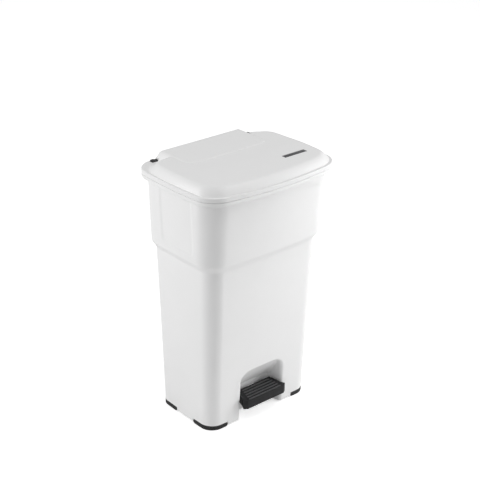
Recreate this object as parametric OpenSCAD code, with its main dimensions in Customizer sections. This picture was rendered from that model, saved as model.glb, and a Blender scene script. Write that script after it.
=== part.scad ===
// Pedal trash can: tapered bin with a wider top band, hinged lid, and a pedal, lever and lift rod that open it.
// Millimetres, +Z up, front of the bin towards -Y. The origin is on the floor, under the middle of the lid.

/* [Overall size] */
// Height of the whole bin, from the floor to the plate on the lid
height = 790; // [650:1:950]
// Width of the rim and lid
rim_w = 482; // [400:1:580]
// Depth of the rim and lid
rim_d = 365; // [300:1:440]

/* [Bin body] */
// How far each side is in from the rim at the floor
base_in = 49; // [44:1:55]
// How far each side is in from the rim just under the shoulder
waist_in = 38; // [32:1:42]
// How far each side is in from the rim just above the shoulder
band_in = 20; // [18:1:26]
// How far each side is in from the rim just under it
neck_in = 15; // [13:1:18]
// Distance from the underside of the rim down to the bottom of the shoulder
band_h = 220; // [200:1:260]
// Height of the shoulder
shoulder_h = 32; // [20:1:50]
// Wall of the body
wall = 3.5; // [2.5:0.1:4.5]
// Underside of the bin's floor
floor_z = 78; // [76:1:95]
// Thickness of the bin's floor
floor_t = 3.5; // [3:0.5:5]
// Height of the rim band
rim_h = 11; // [9:0.5:14]

/* [Pedal recess] */
// Width of the recess
recess_w = 152; // [126:1:190]
// Height of the recess at the front
recess_h = 162; // [140:1:200]
// How far the recess goes in from the front edge
recess_depth = 42; // [40:1:60]

/* [Pedal and lever] */
// How far each side of the pedal tread stands out past the recess
tread_flare = 6; // [3:0.5:8]
// Depth of the pedal tread, front to back
tread_d = 58; // [50:1:64]
// Height of the tread's front face
tread_h = 29; // [24:1:34]
// Diameter of the lever's axle
axle_d = 10; // [8:0.5:12]

/* [Lift rod and crank] */
// Diameter of the lift rod
rod_d = 7; // [5:0.5:8]
// Distance from the lid's hinge axis to the crank pin
crank_r = 24; // [20:0.5:26]
// Full travel of the lid, in degrees
lid_travel = 75; // [60:1:80]
// Diameter of the crank pin and of the lever's rod pin
pin_d = 6; // [5:0.5:7]

/* [Lid and hinge] */
// Wall of the lid
lid_t = 3; // [2.5:0.5:4]
// Distance between the outer ends of the two hinge barrels
hinge_span = 292; // [260:1:300]
// Diameter of the hinge pins
hinge_pin_d = 8; // [6:0.5:10]
// Diameter of the hinge barrels
barrel_d = 16; // [14:0.5:17]

/* [Clearances] */
// Radial clearance of a running fit
run_gap = 0.06; // [0.03:0.01:0.1]
// Radial clearance of a fixed fit
fix_gap = 0.02; // [0.01:0.01:0.03]
// Gap between the lid's skirt and the rim
lid_gap = 0.6; // [0.4:0.1:1.5]
// Side gap between pieces that move past each other
side_gap = 1.5; // [1:0.1:2]

/* [Hidden] */
$fn = 48;

white_plastic = [0.93, 0.93, 0.93];
black_plastic = [0.09, 0.09, 0.10];
black_rubber = [0.06, 0.06, 0.06];
bare_steel = [0.66, 0.67, 0.69];

eps = 0.01;
over = 20;

// Driving heights
badge_proud = 0.5;
lid_top_z = height - badge_proud;
rim_z = height - 47;
shoulder_z = rim_z - band_h;
shoulder_top = shoulder_z + shoulder_h;
rim_top = rim_z + rim_h;
skirt_z = rim_top + lid_gap;
flange_z = skirt_z + 12.6;
body_bottom_z = 5;
pad_h = 15.8;
pad_gap = 0.2;

// Cross-sections are lists:
// [half width, front, back, front corner radius, front bow, back bow, side bow, back corner radius]
function section(side_in, front_in, back_in, front_r, back_r, bows) = [rim_w / 2 - side_in,
    front_in - rim_d / 2, rim_d / 2 - back_in, front_r, bows[0], bows[1], bows[2], back_r];
base_sec = section(base_in, 86.5, 42.5, 41, 29, [2, 0, 2]);
waist_sec = section(waist_in, 54.5, 38.5, 46, 23, [9, 1, 3]);
band_sec = section(band_in, 36.5, 24.5, 58, 44, [14, 2, 4]);
neck_sec = section(neck_in, 19.5, 22.5, 62, 47, [20, 2, 5]);
rim_sec = section(0, 0, 0, 58, 58, [25, 4, 9]);
plateau_sec = section(34, 32, 62, 45, 36, [20, 2, 7]);
bevel_in = 7.5;
back_pull = 0.35;

// Hinge axis
hinge_y = rim_d / 2 - 12.5;
hinge_z = rim_top + 9;
barrel_r = barrel_d / 2;
barrel_out_x = hinge_span / 2;
barrel_in_x = barrel_out_x - 28;
lug_in_w = 13;
lug_out_w = 10;
cap_w = 10;
lug_reach = 12;
hump_foot_out = 20;
rear_cut_y = hinge_y - 4;
rear_skirt_z = rim_top + 3;
notch_gap = 1.2;
cap_r = barrel_r + 1.5;
hinge_screw_x = [barrel_in_x - 10, barrel_out_x + 12];

// Lever and rod
axle_y = 10;
axle_z = 34;
rod_y = base_sec[2] - 9;
rod_pin_z = 20;
rod_bend_z0 = shoulder_top + 85;
rod_bend_z1 = shoulder_top + 135;
crank_drop = lid_travel / 2;
crank_pin_y = hinge_y - crank_r * cos(crank_drop);
crank_pin_z = hinge_z - crank_r * sin(crank_drop);
rod_upper_y = crank_pin_y - 2;
pin_r = pin_d / 2;
pin_play = 1.1;
head_half_w = 5;
cheek_t = 4;
rod_r = rod_d / 2;
axle_r = axle_d / 2;

// Rear rod channel
channel_half_w = 12;
pillar_half_w = 21;
channel_front_y = rod_y - 10;
pillar_front_y = channel_front_y - 3;
pillar_top_z = rim_z - 23;
cover_z0 = 62;
cover_z1 = shoulder_z - 8;
cover_t = 2;
cover_half_w = pillar_half_w - 1.5;
cover_screw_z = [cover_z0 + 18, (cover_z0 + cover_z1) / 2, cover_z1 - 18];
cover_screw_x = 16;

// Pedal tread
tread_w = recess_w + 2 * tread_flare;
tread_front_y = base_sec[1] - 28;
tread_back_y = tread_front_y + tread_d;
tread_bottom_z = 50;
tread_front_z = tread_bottom_z + tread_h;
tread_rise = 8;
tread_wall = 3;
lever_half_w = 9;
lever_slot_half = lever_half_w + 6;
fork_half_w = 4.2;

// Corner pads
base_half = base_sec[0];
pad_x = base_half - 68;
pad_front_y = base_sec[1] + 79;
pad_back_y = base_sec[2] - 78;
pad_w = 14;

// Screws: [x, y] places
screw_slip_r = 2.2;
bracket_screw_xy = [for (x = [-42, 42], y = [-6, 26]) [x, y]];
bracket_z = 59;
bracket_t = 3;
crank_screw_xy = [for (x = [-14, 14], y = [hinge_y - 48, hinge_y - 20]) [x, y]];
crank_plate_z = hinge_z + 9;
crank_plate_t = 3;
tread_screw_xy = [for (x = [-24, 24], y = [tread_front_y + 20, tread_front_y + 40]) [x, y]];
pad_screw_xy = [for (sx = [-1, 1]) each [
    [sx * (base_half - 7.5), base_sec[1] + 58], [sx * (base_half - 7.5), base_sec[2] - 58],
    [sx * (base_half - 54), base_sec[1] + 8], [sx * (base_half - 54), base_sec[2] - 8]]];

// ---- section functions ----

corner_steps = 7;
long_steps = 8;
side_steps = 3;

function mix(a, b, t) = a + (b - a) * t;
function smooth(t) = let (c = min(1, max(0, t))) c * c * (3 - 2 * c);
function inset_r(r, d) = max(4, r - d * 0.8);
function inset(s, d) = [s[0] - d, s[1] + d, s[2] - d, inset_r(s[3], d), s[4], s[5], s[6], inset_r(s[7], d)];
function corner(cx, cy, r, a0) = [for (i = [0:corner_steps])
    let (t = a0 + 90 * i / corner_steps) [cx + r * cos(t), cy + r * sin(t)]];
function between(p, q, n) = [for (i = [1:n - 1]) p + (q - p) * i / n];
function plain_ring(a, b, fr, br) = concat(
    corner(a - br, b - br, br, 0), between([a - br, b], [br - a, b], long_steps),
    corner(br - a, b - br, br, 90), between([-a, b - br], [-a, fr - b], side_steps),
    corner(fr - a, fr - b, fr, 180), between([fr - a, -b], [a - fr, -b], long_steps),
    corner(a - fr, fr - b, fr, 270), between([a, fr - b], [a, b - br], side_steps));

// Rounded rectangle whose sides bow outwards: corners sit back by the bow, the middle keeps the full size
function ring(s) = let (a = s[0], b = (s[2] - s[1]) / 2, yc = (s[2] + s[1]) / 2)
    [for (p = plain_ring(a, b, s[3], s[7])) [
        p[0] * (1 - s[6] / a * pow(p[1] / b, 2)),
        p[1] * (1 - (p[1] < 0 ? s[4] : s[5]) / b * pow(p[0] / a, 2)) + yc]];

// Body section at height z: straight taper below and above a soft shoulder
function body_sec(z, d = 0) = inset(mix(
    mix(base_sec, waist_sec, min(z, shoulder_z) / shoulder_z),
    mix(band_sec, neck_sec, (max(z, shoulder_top) - shoulder_top) / (rim_z - shoulder_top)),
    smooth((z - shoulder_z) / shoulder_h)), d);
body_levels = [140, 270, 400, shoulder_z - 2, shoulder_z + 7, shoulder_z + 16, shoulder_z + 25,
    shoulder_top + 2, mix(shoulder_top, rim_z, 0.5)];
function levels(z0, z1) = concat([z0], [for (z = body_levels) if (z > z0 + 4 && z < z1 - 4) z], [z1]);
function back_y(z) = body_sec(z)[2];

// Solid through a stack of [z, section]
module loft(stack) {
    rings = [for (s = stack) ring(s[1])];
    n = len(rings[0]);
    m = len(stack);
    points = [for (k = [0:m - 1]) for (p = rings[k]) [p[0], p[1], stack[k][0]]];
    sides = [for (k = [0:m - 2]) for (i = [0:n - 1]) let (j = (i + 1) % n)
        each [[k * n + i, (k + 1) * n + j, k * n + j], [k * n + i, (k + 1) * n + i, (k + 1) * n + j]]];
    polyhedron(points, concat([[for (i = [0:n - 1]) i]], sides, [[for (i = [n - 1:-1:0]) (m - 1) * n + i]]));
}

module body_loft(z0, z1, d = 0) {
    loft([for (z = levels(z0, z1)) [z, body_sec(z, d)]]);
}

// Prism along X of a [y, z] outline
module slab_x(x0, x1, outline) {
    translate([x0, 0, 0]) rotate([90, 0, 90]) linear_extrude(x1 - x0) polygon(outline);
}

module rod_x(x0, x1, y, z, r) {
    translate([x0, y, z]) rotate([0, 90, 0]) cylinder(h = x1 - x0, r = r);
}

module box(x0, x1, y0, y1, z0, z1) {
    translate([x0, y0, z0]) cube([x1 - x0, y1 - y0, z1 - z0]);
}

// Strip of thickness t along a bent line of [y, z] points
function unit(v) = v / norm(v);
function strip_normal(pts, i) = let (a = pts[max(0, i - 1)], b = pts[min(len(pts) - 1, i + 1)],
    u = unit(b - a)) [-u[1], u[0]];
function strip(pts, t) = concat(
    [for (i = [0:len(pts) - 1]) pts[i] + strip_normal(pts, i) * t / 2],
    [for (i = [len(pts) - 1:-1:0]) pts[i] - strip_normal(pts, i) * t / 2]);

// Cross-head screw along +Z: head below z = 0, shank above
module screw(shank_r, shank_h, head_r, head_h) {
    difference() {
        union() {
            cylinder(h = shank_h, r = shank_r);
            translate([0, 0, -head_h]) cylinder(h = head_h, r = head_r);
        }
        translate([0, 0, -head_h - eps]) linear_extrude(head_h * 0.5) {
            square([head_r * 1.1, head_r * 0.28], center = true);
            square([head_r * 0.28, head_r * 1.1], center = true);
        }
    }
}

// ---- bin body ----

// Outline of the recess seen from the front, and its profile seen from the side
recess_corner = 26;
recess_back_y = base_sec[1] + recess_depth;
recess_step_z = 104;
module recess_block(grow, z0) {
    half = recess_w / 2 + grow;
    top = recess_h + grow;
    inner_y = recess_back_y + grow;
    ceiling_z = recess_step_z + grow;
    intersection() {
        translate([0, inner_y + over, 0]) rotate([90, 0, 0]) linear_extrude(120 + over) polygon(concat(
            corner(half - recess_corner, top - recess_corner, recess_corner, 0),
            corner(recess_corner - half, top - recess_corner, recess_corner, 90), [[-half, z0], [half, z0]]));
        slab_x(-half - 1, half + 1, [
            [inner_y - 120, z0], [inner_y, z0], [inner_y, ceiling_z - 16], [inner_y - 3, ceiling_z - 5],
            [inner_y - 9, ceiling_z + 6], [inner_y - 34, ceiling_z + 42], [inner_y - 44, top + 1],
            [inner_y - 120, top + 1]]);
    }
}

module corner_zone(sx, sy, z0, z1) {
    y0 = sy < 0 ? base_sec[1] - over : pad_back_y;
    y1 = sy < 0 ? pad_front_y : base_sec[2] + over;
    box(sx < 0 ? -rim_w : pad_x, sx < 0 ? -pad_x : rim_w, y0, y1, z0, z1);
}

module edge_ring(z0, z1, d_out, d_in) {
    difference() {
        loft([[z0, inset(base_sec, d_out)], [z1, inset(body_sec(z1), d_out)]]);
        loft([[z0 - 1, inset(base_sec, d_in)], [z1 + 1, inset(body_sec(z1), d_in)]]);
    }
}

module rim_band() {
    difference() {
        loft([[rim_z, inset(rim_sec, 1)], [rim_z + 2, rim_sec], [rim_top - 1, rim_sec],
            [rim_top, inset(rim_sec, 1)]]);
        loft([[rim_z - 1, inset(rim_sec, 4)], [rim_top - 3.5, inset(rim_sec, 4)]]);
    }
}

// Body solid or cavity from z0 up to z1, which lies above the underside of the rim
module body_to_rim(z0, z1, d) {
    loft(concat([for (z = levels(z0, rim_z)) [z, body_sec(z, d)]], [[z1, body_sec(rim_z, d)]]));
}

module bin_shell() color(white_plastic) {
    difference() {
        union() {
            difference() {
                union() {
                    body_to_rim(body_bottom_z, rim_top - 0.5, 0);
                    rim_band();
                }
                body_to_rim(floor_z + floor_t, rim_top + 1, wall);
                loft([[-1, inset(base_sec, wall)], [floor_z, body_sec(floor_z, wall)]]);
            }
            intersection() {
                body_loft(body_bottom_z + 0.5, rim_z, wall / 2);
                union() {
                    recess_block(wall, body_bottom_z + 0.5);
                    box(-pillar_half_w, pillar_half_w, pillar_front_y, neck_sec[2] + over, floor_z, pillar_top_z);
                    for (p = bracket_screw_xy)
                        translate([p[0], p[1], bracket_z + bracket_t]) cylinder(h = floor_z - bracket_z, r = 6);
                    for (sx = [-1, 1], sy = [-1, 1]) intersection() {
                        corner_zone(sx, sy, pad_h + pad_gap, pad_h + 22);
                        edge_ring(1, pad_h + 22, 0, pad_w);
                    }
                }
            }
        }
        recess_block(0, -over);
        for (sx = [-1, 1], sy = [-1, 1]) corner_zone(sx, sy, -over, pad_h + pad_gap);
        // Lever slot in the recess wall
        box(-lever_slot_half, lever_slot_half, base_sec[1], recess_back_y + wall + 2, -over, floor_z - 2);
        // Rod channel: open to the back below the shoulder, through the bin's floor and up to the top of its pillar
        slab_x(-channel_half_w, channel_half_w, [
            [channel_front_y, -over], [base_sec[2] + over, -over], [base_sec[2] + over, cover_z1 - 1],
            [back_y(cover_z1) - wall - 1, cover_z1 - 1], [back_y(shoulder_z + 6) - wall, shoulder_z + 6],
            [back_y(shoulder_top) - wall, shoulder_top],
            [back_y(rim_z) - wall, pillar_top_z + 1], [channel_front_y, pillar_top_z + 1]]);
        cover_prism(cover_half_w + 0.3, cover_t + 0.2, 1);
        for (z = cover_screw_z, s = [-1, 1])
            translate([s * cover_screw_x, back_y(z), z]) rotate([90, 0, 0]) cylinder(h = 16, r = 1.5 + fix_gap);
        for (p = bracket_screw_xy) translate([p[0], p[1], bracket_z]) cylinder(h = 16, r = 2 + fix_gap);
        for (p = pad_screw_xy) translate([p[0], p[1], 0]) cylinder(h = pad_h + 16, r = 2 + fix_gap);
        // Back of the rim: cut flat so that the lid's rear edge can swing down past it
        box(-rim_w, rim_w, rear_cut_y, rim_d, rim_z - 1, rim_top + 1);
        box(-barrel_out_x - 34, barrel_out_x + 34, neck_sec[2] + 0.6, rim_d, rim_z - 1, rim_top + 1);
        box(-channel_half_w - 2, channel_half_w + 2, neck_sec[2] - 20, rim_d, head_bottom_z - 3, rim_top + 1);
        for (s = [-1, 1], x = hinge_screw_x)
            translate([s * x, neck_sec[2] - 10, rim_z - 20]) rotate([-90, 0, 0]) cylinder(h = 30, r = 2 + fix_gap);
    }
}

module corner_pad(sx, sy) color(black_rubber) {
    difference() {
        intersection() {
            corner_zone(sx, sy, 0, pad_h);
            edge_ring(0, pad_h, -0.8, pad_w);
        }
        for (p = pad_screw_xy) translate([p[0], p[1], -1]) {
            cylinder(h = pad_h + 2, r = screw_slip_r);
            cylinder(h = 6, r = 4.4);
        }
    }
}

module corner_pad_fl() corner_pad(-1, -1);
module corner_pad_fr() corner_pad(1, -1);
module corner_pad_bl() corner_pad(-1, 1);
module corner_pad_br() corner_pad(1, 1);

module pad_screws() color(bare_steel) {
    for (p = pad_screw_xy) translate([p[0], p[1], 5]) screw(2, pad_h + 8, 4, 2.5);
}

// ---- pedal axle and its bracket ----

ear_x = 26;
ear_t = 3;

module axle_bracket() color(bare_steel) {
    difference() {
        union() {
            box(-50, 50, -14, 34, bracket_z, bracket_z + bracket_t);
            for (s = [-1, 1]) translate([s * (ear_x + ear_t / 2), 0, 0]) {
                box(-ear_t / 2, ear_t / 2, axle_y - 14, axle_y + 14, axle_z, bracket_z + eps);
                rod_x(-ear_t / 2, ear_t / 2, axle_y, axle_z, 14);
            }
        }
        rod_x(-60, 60, axle_y, axle_z, axle_r + fix_gap);
        for (p = bracket_screw_xy) translate([p[0], p[1], 0]) cylinder(h = 90, r = screw_slip_r);
    }
}

module bracket_screws() color(bare_steel) {
    for (p = bracket_screw_xy) translate([p[0], p[1], bracket_z]) screw(2, 14, 4, 2.5);
}

axle_half = ear_x + ear_t + 6;

module pedal_axle() color(bare_steel) {
    difference() {
        rod_x(-axle_half, axle_half, axle_y, axle_z, axle_r);
        for (s = [-1, 1]) translate([s * (ear_x + ear_t + 2), 0, 0]) difference() {
            rod_x(-0.8, 0.8, axle_y, axle_z, axle_r + 1);
            rod_x(-1, 1, axle_y, axle_z, axle_r - 1);
        }
    }
}

module axle_clips() color(bare_steel) {
    for (s = [-1, 1]) translate([s * (ear_x + ear_t + 2), 0, 0]) difference() {
        rod_x(-0.6, 0.6, axle_y, axle_z, axle_r + 4);
        rod_x(-1, 1, axle_y, axle_z, axle_r - 1 + fix_gap);
        box(-1, 1, axle_y - axle_r + 1.4, axle_y + axle_r - 1.4, axle_z - axle_r - 5, axle_z);
    }
}

// ---- rod channel ----

module cover_prism(half_w, t, grow) {
    slab_x(-half_w, half_w, [
        [back_y(cover_z0) - t, cover_z0 - grow / 4], [back_y(cover_z0) + grow, cover_z0 - grow / 4],
        [back_y(cover_z1) + grow, cover_z1 + grow / 4], [back_y(cover_z1) - t, cover_z1 + grow / 4]]);
}

module channel_cover() color(white_plastic) {
    difference() {
        cover_prism(cover_half_w, cover_t, 0);
        for (z = cover_screw_z, s = [-1, 1])
            translate([s * cover_screw_x, back_y(z) + 1, z]) rotate([90, 0, 0]) cylinder(h = 10, r = 1.7);
    }
}

module cover_screws() color(bare_steel) {
    for (z = cover_screw_z, s = [-1, 1])
        translate([s * cover_screw_x, back_y(z) + 0.1, z]) rotate([90, 0, 0]) screw(1.5, 14, 2.8, 1.6);
}

module rod_guide(z) color(black_plastic) {
    difference() {
        box(-channel_half_w + 0.1, channel_half_w - 0.1, channel_front_y + 0.1, back_y(z) - cover_t - 0.8, z, z + 16);
        translate([0, rod_y, z - 1]) cylinder(h = 18, r = rod_r + run_gap);
    }
}

module rod_guide_lower() rod_guide(96);
module rod_guide_upper() rod_guide(shoulder_z - 73);

// ---- hinge ----

block_y = neck_sec[2] - wall - neck_sec[5];
block_z = rim_z - 34;
block_t = 4;
lug_in_x = barrel_in_x - side_gap - lug_in_w;
lug_out_x = barrel_out_x + side_gap + lug_reach;

module hinge_lug(x0, w) {
    rod_x(x0, x0 + w, hinge_y, hinge_z, barrel_r);
    box(x0, x0 + w, block_y - block_t, hinge_y, hinge_z - barrel_r, hinge_z);
    box(x0, x0 + w, block_y - block_t, block_y, block_z + 10, hinge_z);
}

module hinge_block(s) color(black_plastic) {
    difference() {
        mirror([s < 0 ? 1 : 0, 0, 0]) {
            hinge_lug(lug_in_x, lug_in_w);
            hinge_lug(lug_out_x, lug_out_w);
            box(lug_in_x, lug_out_x + lug_out_w, block_y - block_t, block_y, block_z, rim_top - 2);
        }
        rod_x(-rim_w, rim_w, hinge_y, hinge_z, hinge_pin_d / 2 + fix_gap);
        for (x = hinge_screw_x)
            translate([s * x, block_y - block_t - 1, rim_z - 20]) rotate([-90, 0, 0])
                cylinder(h = block_t + 4, r = screw_slip_r);
    }
}

module hinge_block_left() hinge_block(-1);
module hinge_block_right() hinge_block(1);

module hinge_screws() color(bare_steel) {
    for (s = [-1, 1], x = hinge_screw_x)
        translate([s * x, block_y - block_t, rim_z - 20]) rotate([-90, 0, 0]) screw(2, 7, 4, 2.4);
}

module hinge_pin(s) color(bare_steel) {
    mirror([s < 0 ? 1 : 0, 0, 0]) rod_x(lug_in_x - 1, lug_out_x + lug_out_w + 3, hinge_y, hinge_z, hinge_pin_d / 2);
}

module hinge_pin_left() hinge_pin(-1);
module hinge_pin_right() hinge_pin(1);

cap_x = lug_out_x + lug_out_w + 0.1;
cap_nose = 3;

module hinge_cap(s) color(black_plastic) {
    mirror([s < 0 ? 1 : 0, 0, 0]) difference() {
        union() {
            rod_x(cap_x, cap_x + cap_w - cap_nose, hinge_y, hinge_z, cap_r);
            translate([cap_x + cap_w - cap_nose - eps, hinge_y, hinge_z]) rotate([0, 90, 0])
                cylinder(h = cap_nose, r1 = cap_r, r2 = cap_r - 2.5);
        }
        rod_x(cap_x - 1, lug_out_x + lug_out_w + 3.2, hinge_y, hinge_z, hinge_pin_d / 2 + fix_gap);
    }
}

module hinge_cap_left() hinge_cap(-1);
module hinge_cap_right() hinge_cap(1);

// ---- liner ring: hangs in the mouth and holds the bag ----

ring_back_y = hinge_y - 33;
ring_side_gap = 1.2;
liner_sec = [neck_sec[0] - wall - ring_side_gap, neck_sec[1] + wall + ring_side_gap, ring_back_y,
    60, neck_sec[4], 1, neck_sec[6], 45];
ring_t = 2.5;

module liner_ring() color(white_plastic) {
    difference() {
        union() {
            loft([[rim_top - 27, inset(liner_sec, 1)], [rim_top + 2.4, liner_sec]]);
            difference() {
                loft([[rim_top + 0.2, inset(rim_sec, 12)], [rim_top + 2.4, inset(rim_sec, 12.5)]]);
                box(-rim_w, rim_w, ring_back_y - 6, rim_d, rim_z, rim_top + 10);
            }
        }
        loft([[rim_top - 28, inset(liner_sec, ring_t + 1)], [rim_top + 4, inset(liner_sec, ring_t)]]);
    }
}

// ---- lid ----

// Section of the bevelled top from the foot of the bevel (t = 0) to the plateau (t = 1); the back falls away first
function lid_sec(t, d = 0) = let (foot = inset(rim_sec, bevel_in), s = mix(foot, plateau_sec, t),
    back = mix(foot[2], plateau_sec[2], pow(t, back_pull)))
    inset([s[0], s[1], back, s[3], s[4], s[5], s[6], s[7]], d);
bevel_steps = 5;
function lid_profile(d, dz) = [for (i = [0:bevel_steps]) let (t = i / bevel_steps)
    [flange_z + (lid_top_z - flange_z) * sin(90 * t) + (i == 0 ? 0.3 : 0) - dz, lid_sec(t, d)]];

// Hinge housing: raised level with the plateau, back to the rear edge, with a steep foot round the hinge
hump_foot = 7;
function hump_sec(t, d) = let (half = barrel_out_x - 8 + hump_foot_out * (1 - t))
    [half - d, hinge_y - 130 + 8 * t + d, rim_d / 2 - 0.5 - 11 * t - d, 16, 2, 0.3, 1, 16];
function hump_profile(z0, d, dz) = concat([[z0, hump_sec(0, d)]], [for (t = [0, 0.35, 0.7, 0.9, 1])
    [mix(flange_z + hump_foot, lid_top_z - 0.02, sin(90 * t)) - dz, hump_sec(t, d)]]);

module lid_outer() {
    loft(concat([[skirt_z, inset(rim_sec, 0.6)], [skirt_z + 1, rim_sec], [flange_z - 1.5, rim_sec],
        [flange_z - 0.4, inset(rim_sec, 0.5)], [flange_z, inset(rim_sec, 1.6)]], lid_profile(0, 0)));
    loft(hump_profile(flange_z - 3, 0, 0));
}

module lid_inner() {
    loft(concat([[skirt_z - 1, inset(rim_sec, bevel_in - 0.5)], [flange_z - lid_t - 0.5, inset(rim_sec, bevel_in)]],
        lid_profile(lid_t * 0.7, lid_t)));
    loft(hump_profile(skirt_z - 2, lid_t, lid_t));
}

badge_x = [rim_w / 2 - 151, rim_w / 2 - 70];
badge_y = [91.5 - rim_d / 2, 107.5 - rim_d / 2];
badge_depth = 1;
rib_half = rim_w / 2 - 51;
rib_y = [92.5 - rim_d / 2, 162.5 - rim_d / 2];

module lid_shell() color(white_plastic) {
    difference() {
        union() {
            difference() {
                lid_outer();
                lid_inner();
            }
            // Hinge barrels and the ribs that carry them
            for (s = [-1, 1]) mirror([s < 0 ? 1 : 0, 0, 0]) {
                rod_x(barrel_in_x, barrel_out_x - 10, hinge_y, hinge_z, barrel_r);
                box(barrel_in_x, barrel_out_x - 10, hinge_y - 4, hinge_y + 4, hinge_z, lid_top_z - lid_t + 0.5);
            }
            for (p = crank_screw_xy) translate([p[0], p[1], crank_plate_z + crank_plate_t])
                cylinder(h = lid_top_z - lid_t + 0.5 - crank_plate_z - crank_plate_t, r = 5);
            // Stiffening ribs under the top
            for (y = rib_y)
                box(-rib_half, rib_half, y - 1.2, y + 1.2, lid_top_z - lid_t - 7, lid_top_z - lid_t + 0.5);
        }
        rod_x(-rim_w, rim_w, hinge_y, hinge_z, hinge_pin_d / 2 + run_gap);
        for (p = crank_screw_xy) translate([p[0], p[1], crank_plate_z]) cylinder(h = 12, r = 2 + fix_gap);
        // Rear edge of the skirt is shorter, and it is open round the hinge caps
        box(-rim_w, rim_w, rear_cut_y, rim_d, skirt_z - 2, rear_skirt_z);
        for (s = [-1, 1]) mirror([s < 0 ? 1 : 0, 0, 0])
            box(lug_out_x - notch_gap, cap_x + cap_w + notch_gap, hinge_y - cap_r - notch_gap - 0.2, rim_d,
                skirt_z - 2, lid_top_z + 2);
        box(badge_x[0], badge_x[1], badge_y[0], badge_y[1], lid_top_z - badge_depth, lid_top_z + 1);
    }
}

module badge_plate() color(black_plastic) {
    fit = 0.2;
    box(badge_x[0] + fit, badge_x[1] - fit, badge_y[0] + fit, badge_y[1] - fit,
        lid_top_z - badge_depth, lid_top_z + badge_proud);
}

cheek_x = head_half_w + 1.2;

module lid_crank() color(black_plastic) {
    top = crank_plate_z + eps;
    difference() {
        union() {
            box(-20, 20, hinge_y - 54, hinge_y - 8, crank_plate_z, crank_plate_z + crank_plate_t);
            for (s = [-1, 1]) translate([s > 0 ? cheek_x : -cheek_x - cheek_t, 0, 0]) {
                rod_x(0, cheek_t, crank_pin_y, crank_pin_z, pin_r + 4);
                slab_x(0, cheek_t, [[crank_pin_y - pin_r - 4, crank_pin_z], [crank_pin_y + pin_r + 4, crank_pin_z],
                    [crank_pin_y + pin_r + 4, top], [crank_pin_y - pin_r - 10, top]]);
            }
        }
        rod_x(-30, 30, crank_pin_y, crank_pin_z, pin_r + fix_gap);
        for (p = crank_screw_xy) translate([p[0], p[1], crank_plate_z - 1]) cylinder(h = 8, r = screw_slip_r);
    }
}

module crank_pin() color(bare_steel) {
    rod_x(-cheek_x - cheek_t - 1, cheek_x + cheek_t + 1, crank_pin_y, crank_pin_z, pin_r);
}

module crank_screws() color(bare_steel) {
    for (p = crank_screw_xy) translate([p[0], p[1], crank_plate_z]) screw(2, 11, 3.8, 2.2);
}

// ---- pedal and lever ----

lever_line = [
    [rod_y, rod_pin_z], [axle_y + 14, axle_z - 2], [axle_y, axle_z], [tread_back_y + 26, axle_z + 10],
    [tread_back_y + 4, tread_bottom_z + 8], [tread_front_y + 8, tread_bottom_z + 12]];
lever_t = 6;
bush_t = 1.5;

module pedal_lever() color(bare_steel) {
    difference() {
        union() {
            slab_x(-lever_half_w, lever_half_w, strip(lever_line, lever_t));
            rod_x(-lever_half_w, lever_half_w, rod_y, rod_pin_z, pin_r + 3);
            rod_x(-ear_x + 1, ear_x - 1, axle_y, axle_z, axle_r + 4);
            box(-34, 34, tread_front_y + 12, tread_front_y + 50, tread_bottom_z + 8, tread_bottom_z + 11);
        }
        rod_x(-40, 40, axle_y, axle_z, axle_r + bush_t + fix_gap);
        box(-fork_half_w, fork_half_w, rod_y - 14, rod_y + 20, 0, 60);
        rod_x(-40, 40, rod_y, rod_pin_z, pin_r + fix_gap);
        for (p = tread_screw_xy) translate([p[0], p[1], tread_bottom_z]) cylinder(h = 20, r = screw_slip_r);
    }
}

module lever_bush() color(black_plastic) {
    difference() {
        rod_x(-ear_x + 1, ear_x - 1, axle_y, axle_z, axle_r + bush_t);
        rod_x(-40, 40, axle_y, axle_z, axle_r + run_gap);
    }
}

module rod_pin() color(bare_steel) {
    rod_x(-lever_half_w - 1, lever_half_w + 1, rod_y, rod_pin_z, pin_r);
}

// Plan outline of the tread: wide chamfered front, narrower towards the back
function tread_plan(d) = let (w = tread_w / 2 - d, y0 = tread_front_y + d, y1 = tread_back_y - d)
    [[-w + 12, y0], [w - 12, y0], [w, y0 + 8], [w - 7, y0 + 19], [w - 20, y1], [-w + 20, y1], [7 - w, y0 + 19],
    [-w, y0 + 8]];
rib_pitch = 7.6;
rib_count = 6;
function tread_top(y) = tread_front_z + (y - tread_front_y) / tread_d * tread_rise;

module tread_solid(d, top_drop, z0) {
    intersection() {
        translate([0, 0, z0]) linear_extrude(60) polygon(tread_plan(d));
        slab_x(-tread_w, tread_w, [
            [tread_front_y - 1, z0 - 1], [tread_back_y + 1, z0 - 1],
            [tread_back_y + 1, tread_top(tread_back_y + 1) - top_drop],
            [tread_front_y - 1, tread_top(tread_front_y - 1) - top_drop]]);
    }
}

module pedal_tread() color(black_plastic) {
    difference() {
        tread_solid(0, 0, tread_bottom_z);
        difference() {
            tread_solid(tread_wall, tread_wall + 1, tread_bottom_z - 1);
            for (p = tread_screw_xy) translate([p[0], p[1], tread_bottom_z + 11.1]) cylinder(h = 40, r = 5);
        }
        // Room for the lever through the back wall
        box(-lever_half_w - 2, lever_half_w + 2, tread_back_y - 6, tread_back_y + 2, 0, tread_bottom_z + 14);
        for (p = tread_screw_xy) translate([p[0], p[1], tread_bottom_z]) cylinder(h = 22, r = 2 + fix_gap);
        // Grooves between the grip ribs
        for (i = [0:rib_count - 1]) let (y = tread_front_y + 9 + i * rib_pitch)
            translate([0, y, tread_top(y)]) rotate([atan(tread_rise / tread_d), 0, 0])
                cube([tread_w - 44 - i * 3, 2.6, 2.4], center = true);
    }
}

module tread_screws() color(bare_steel) {
    for (p = tread_screw_xy) translate([p[0], p[1], tread_bottom_z + 8]) screw(2, 12, 3.8, 2.2);
}

// ---- lift rod ----

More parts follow.
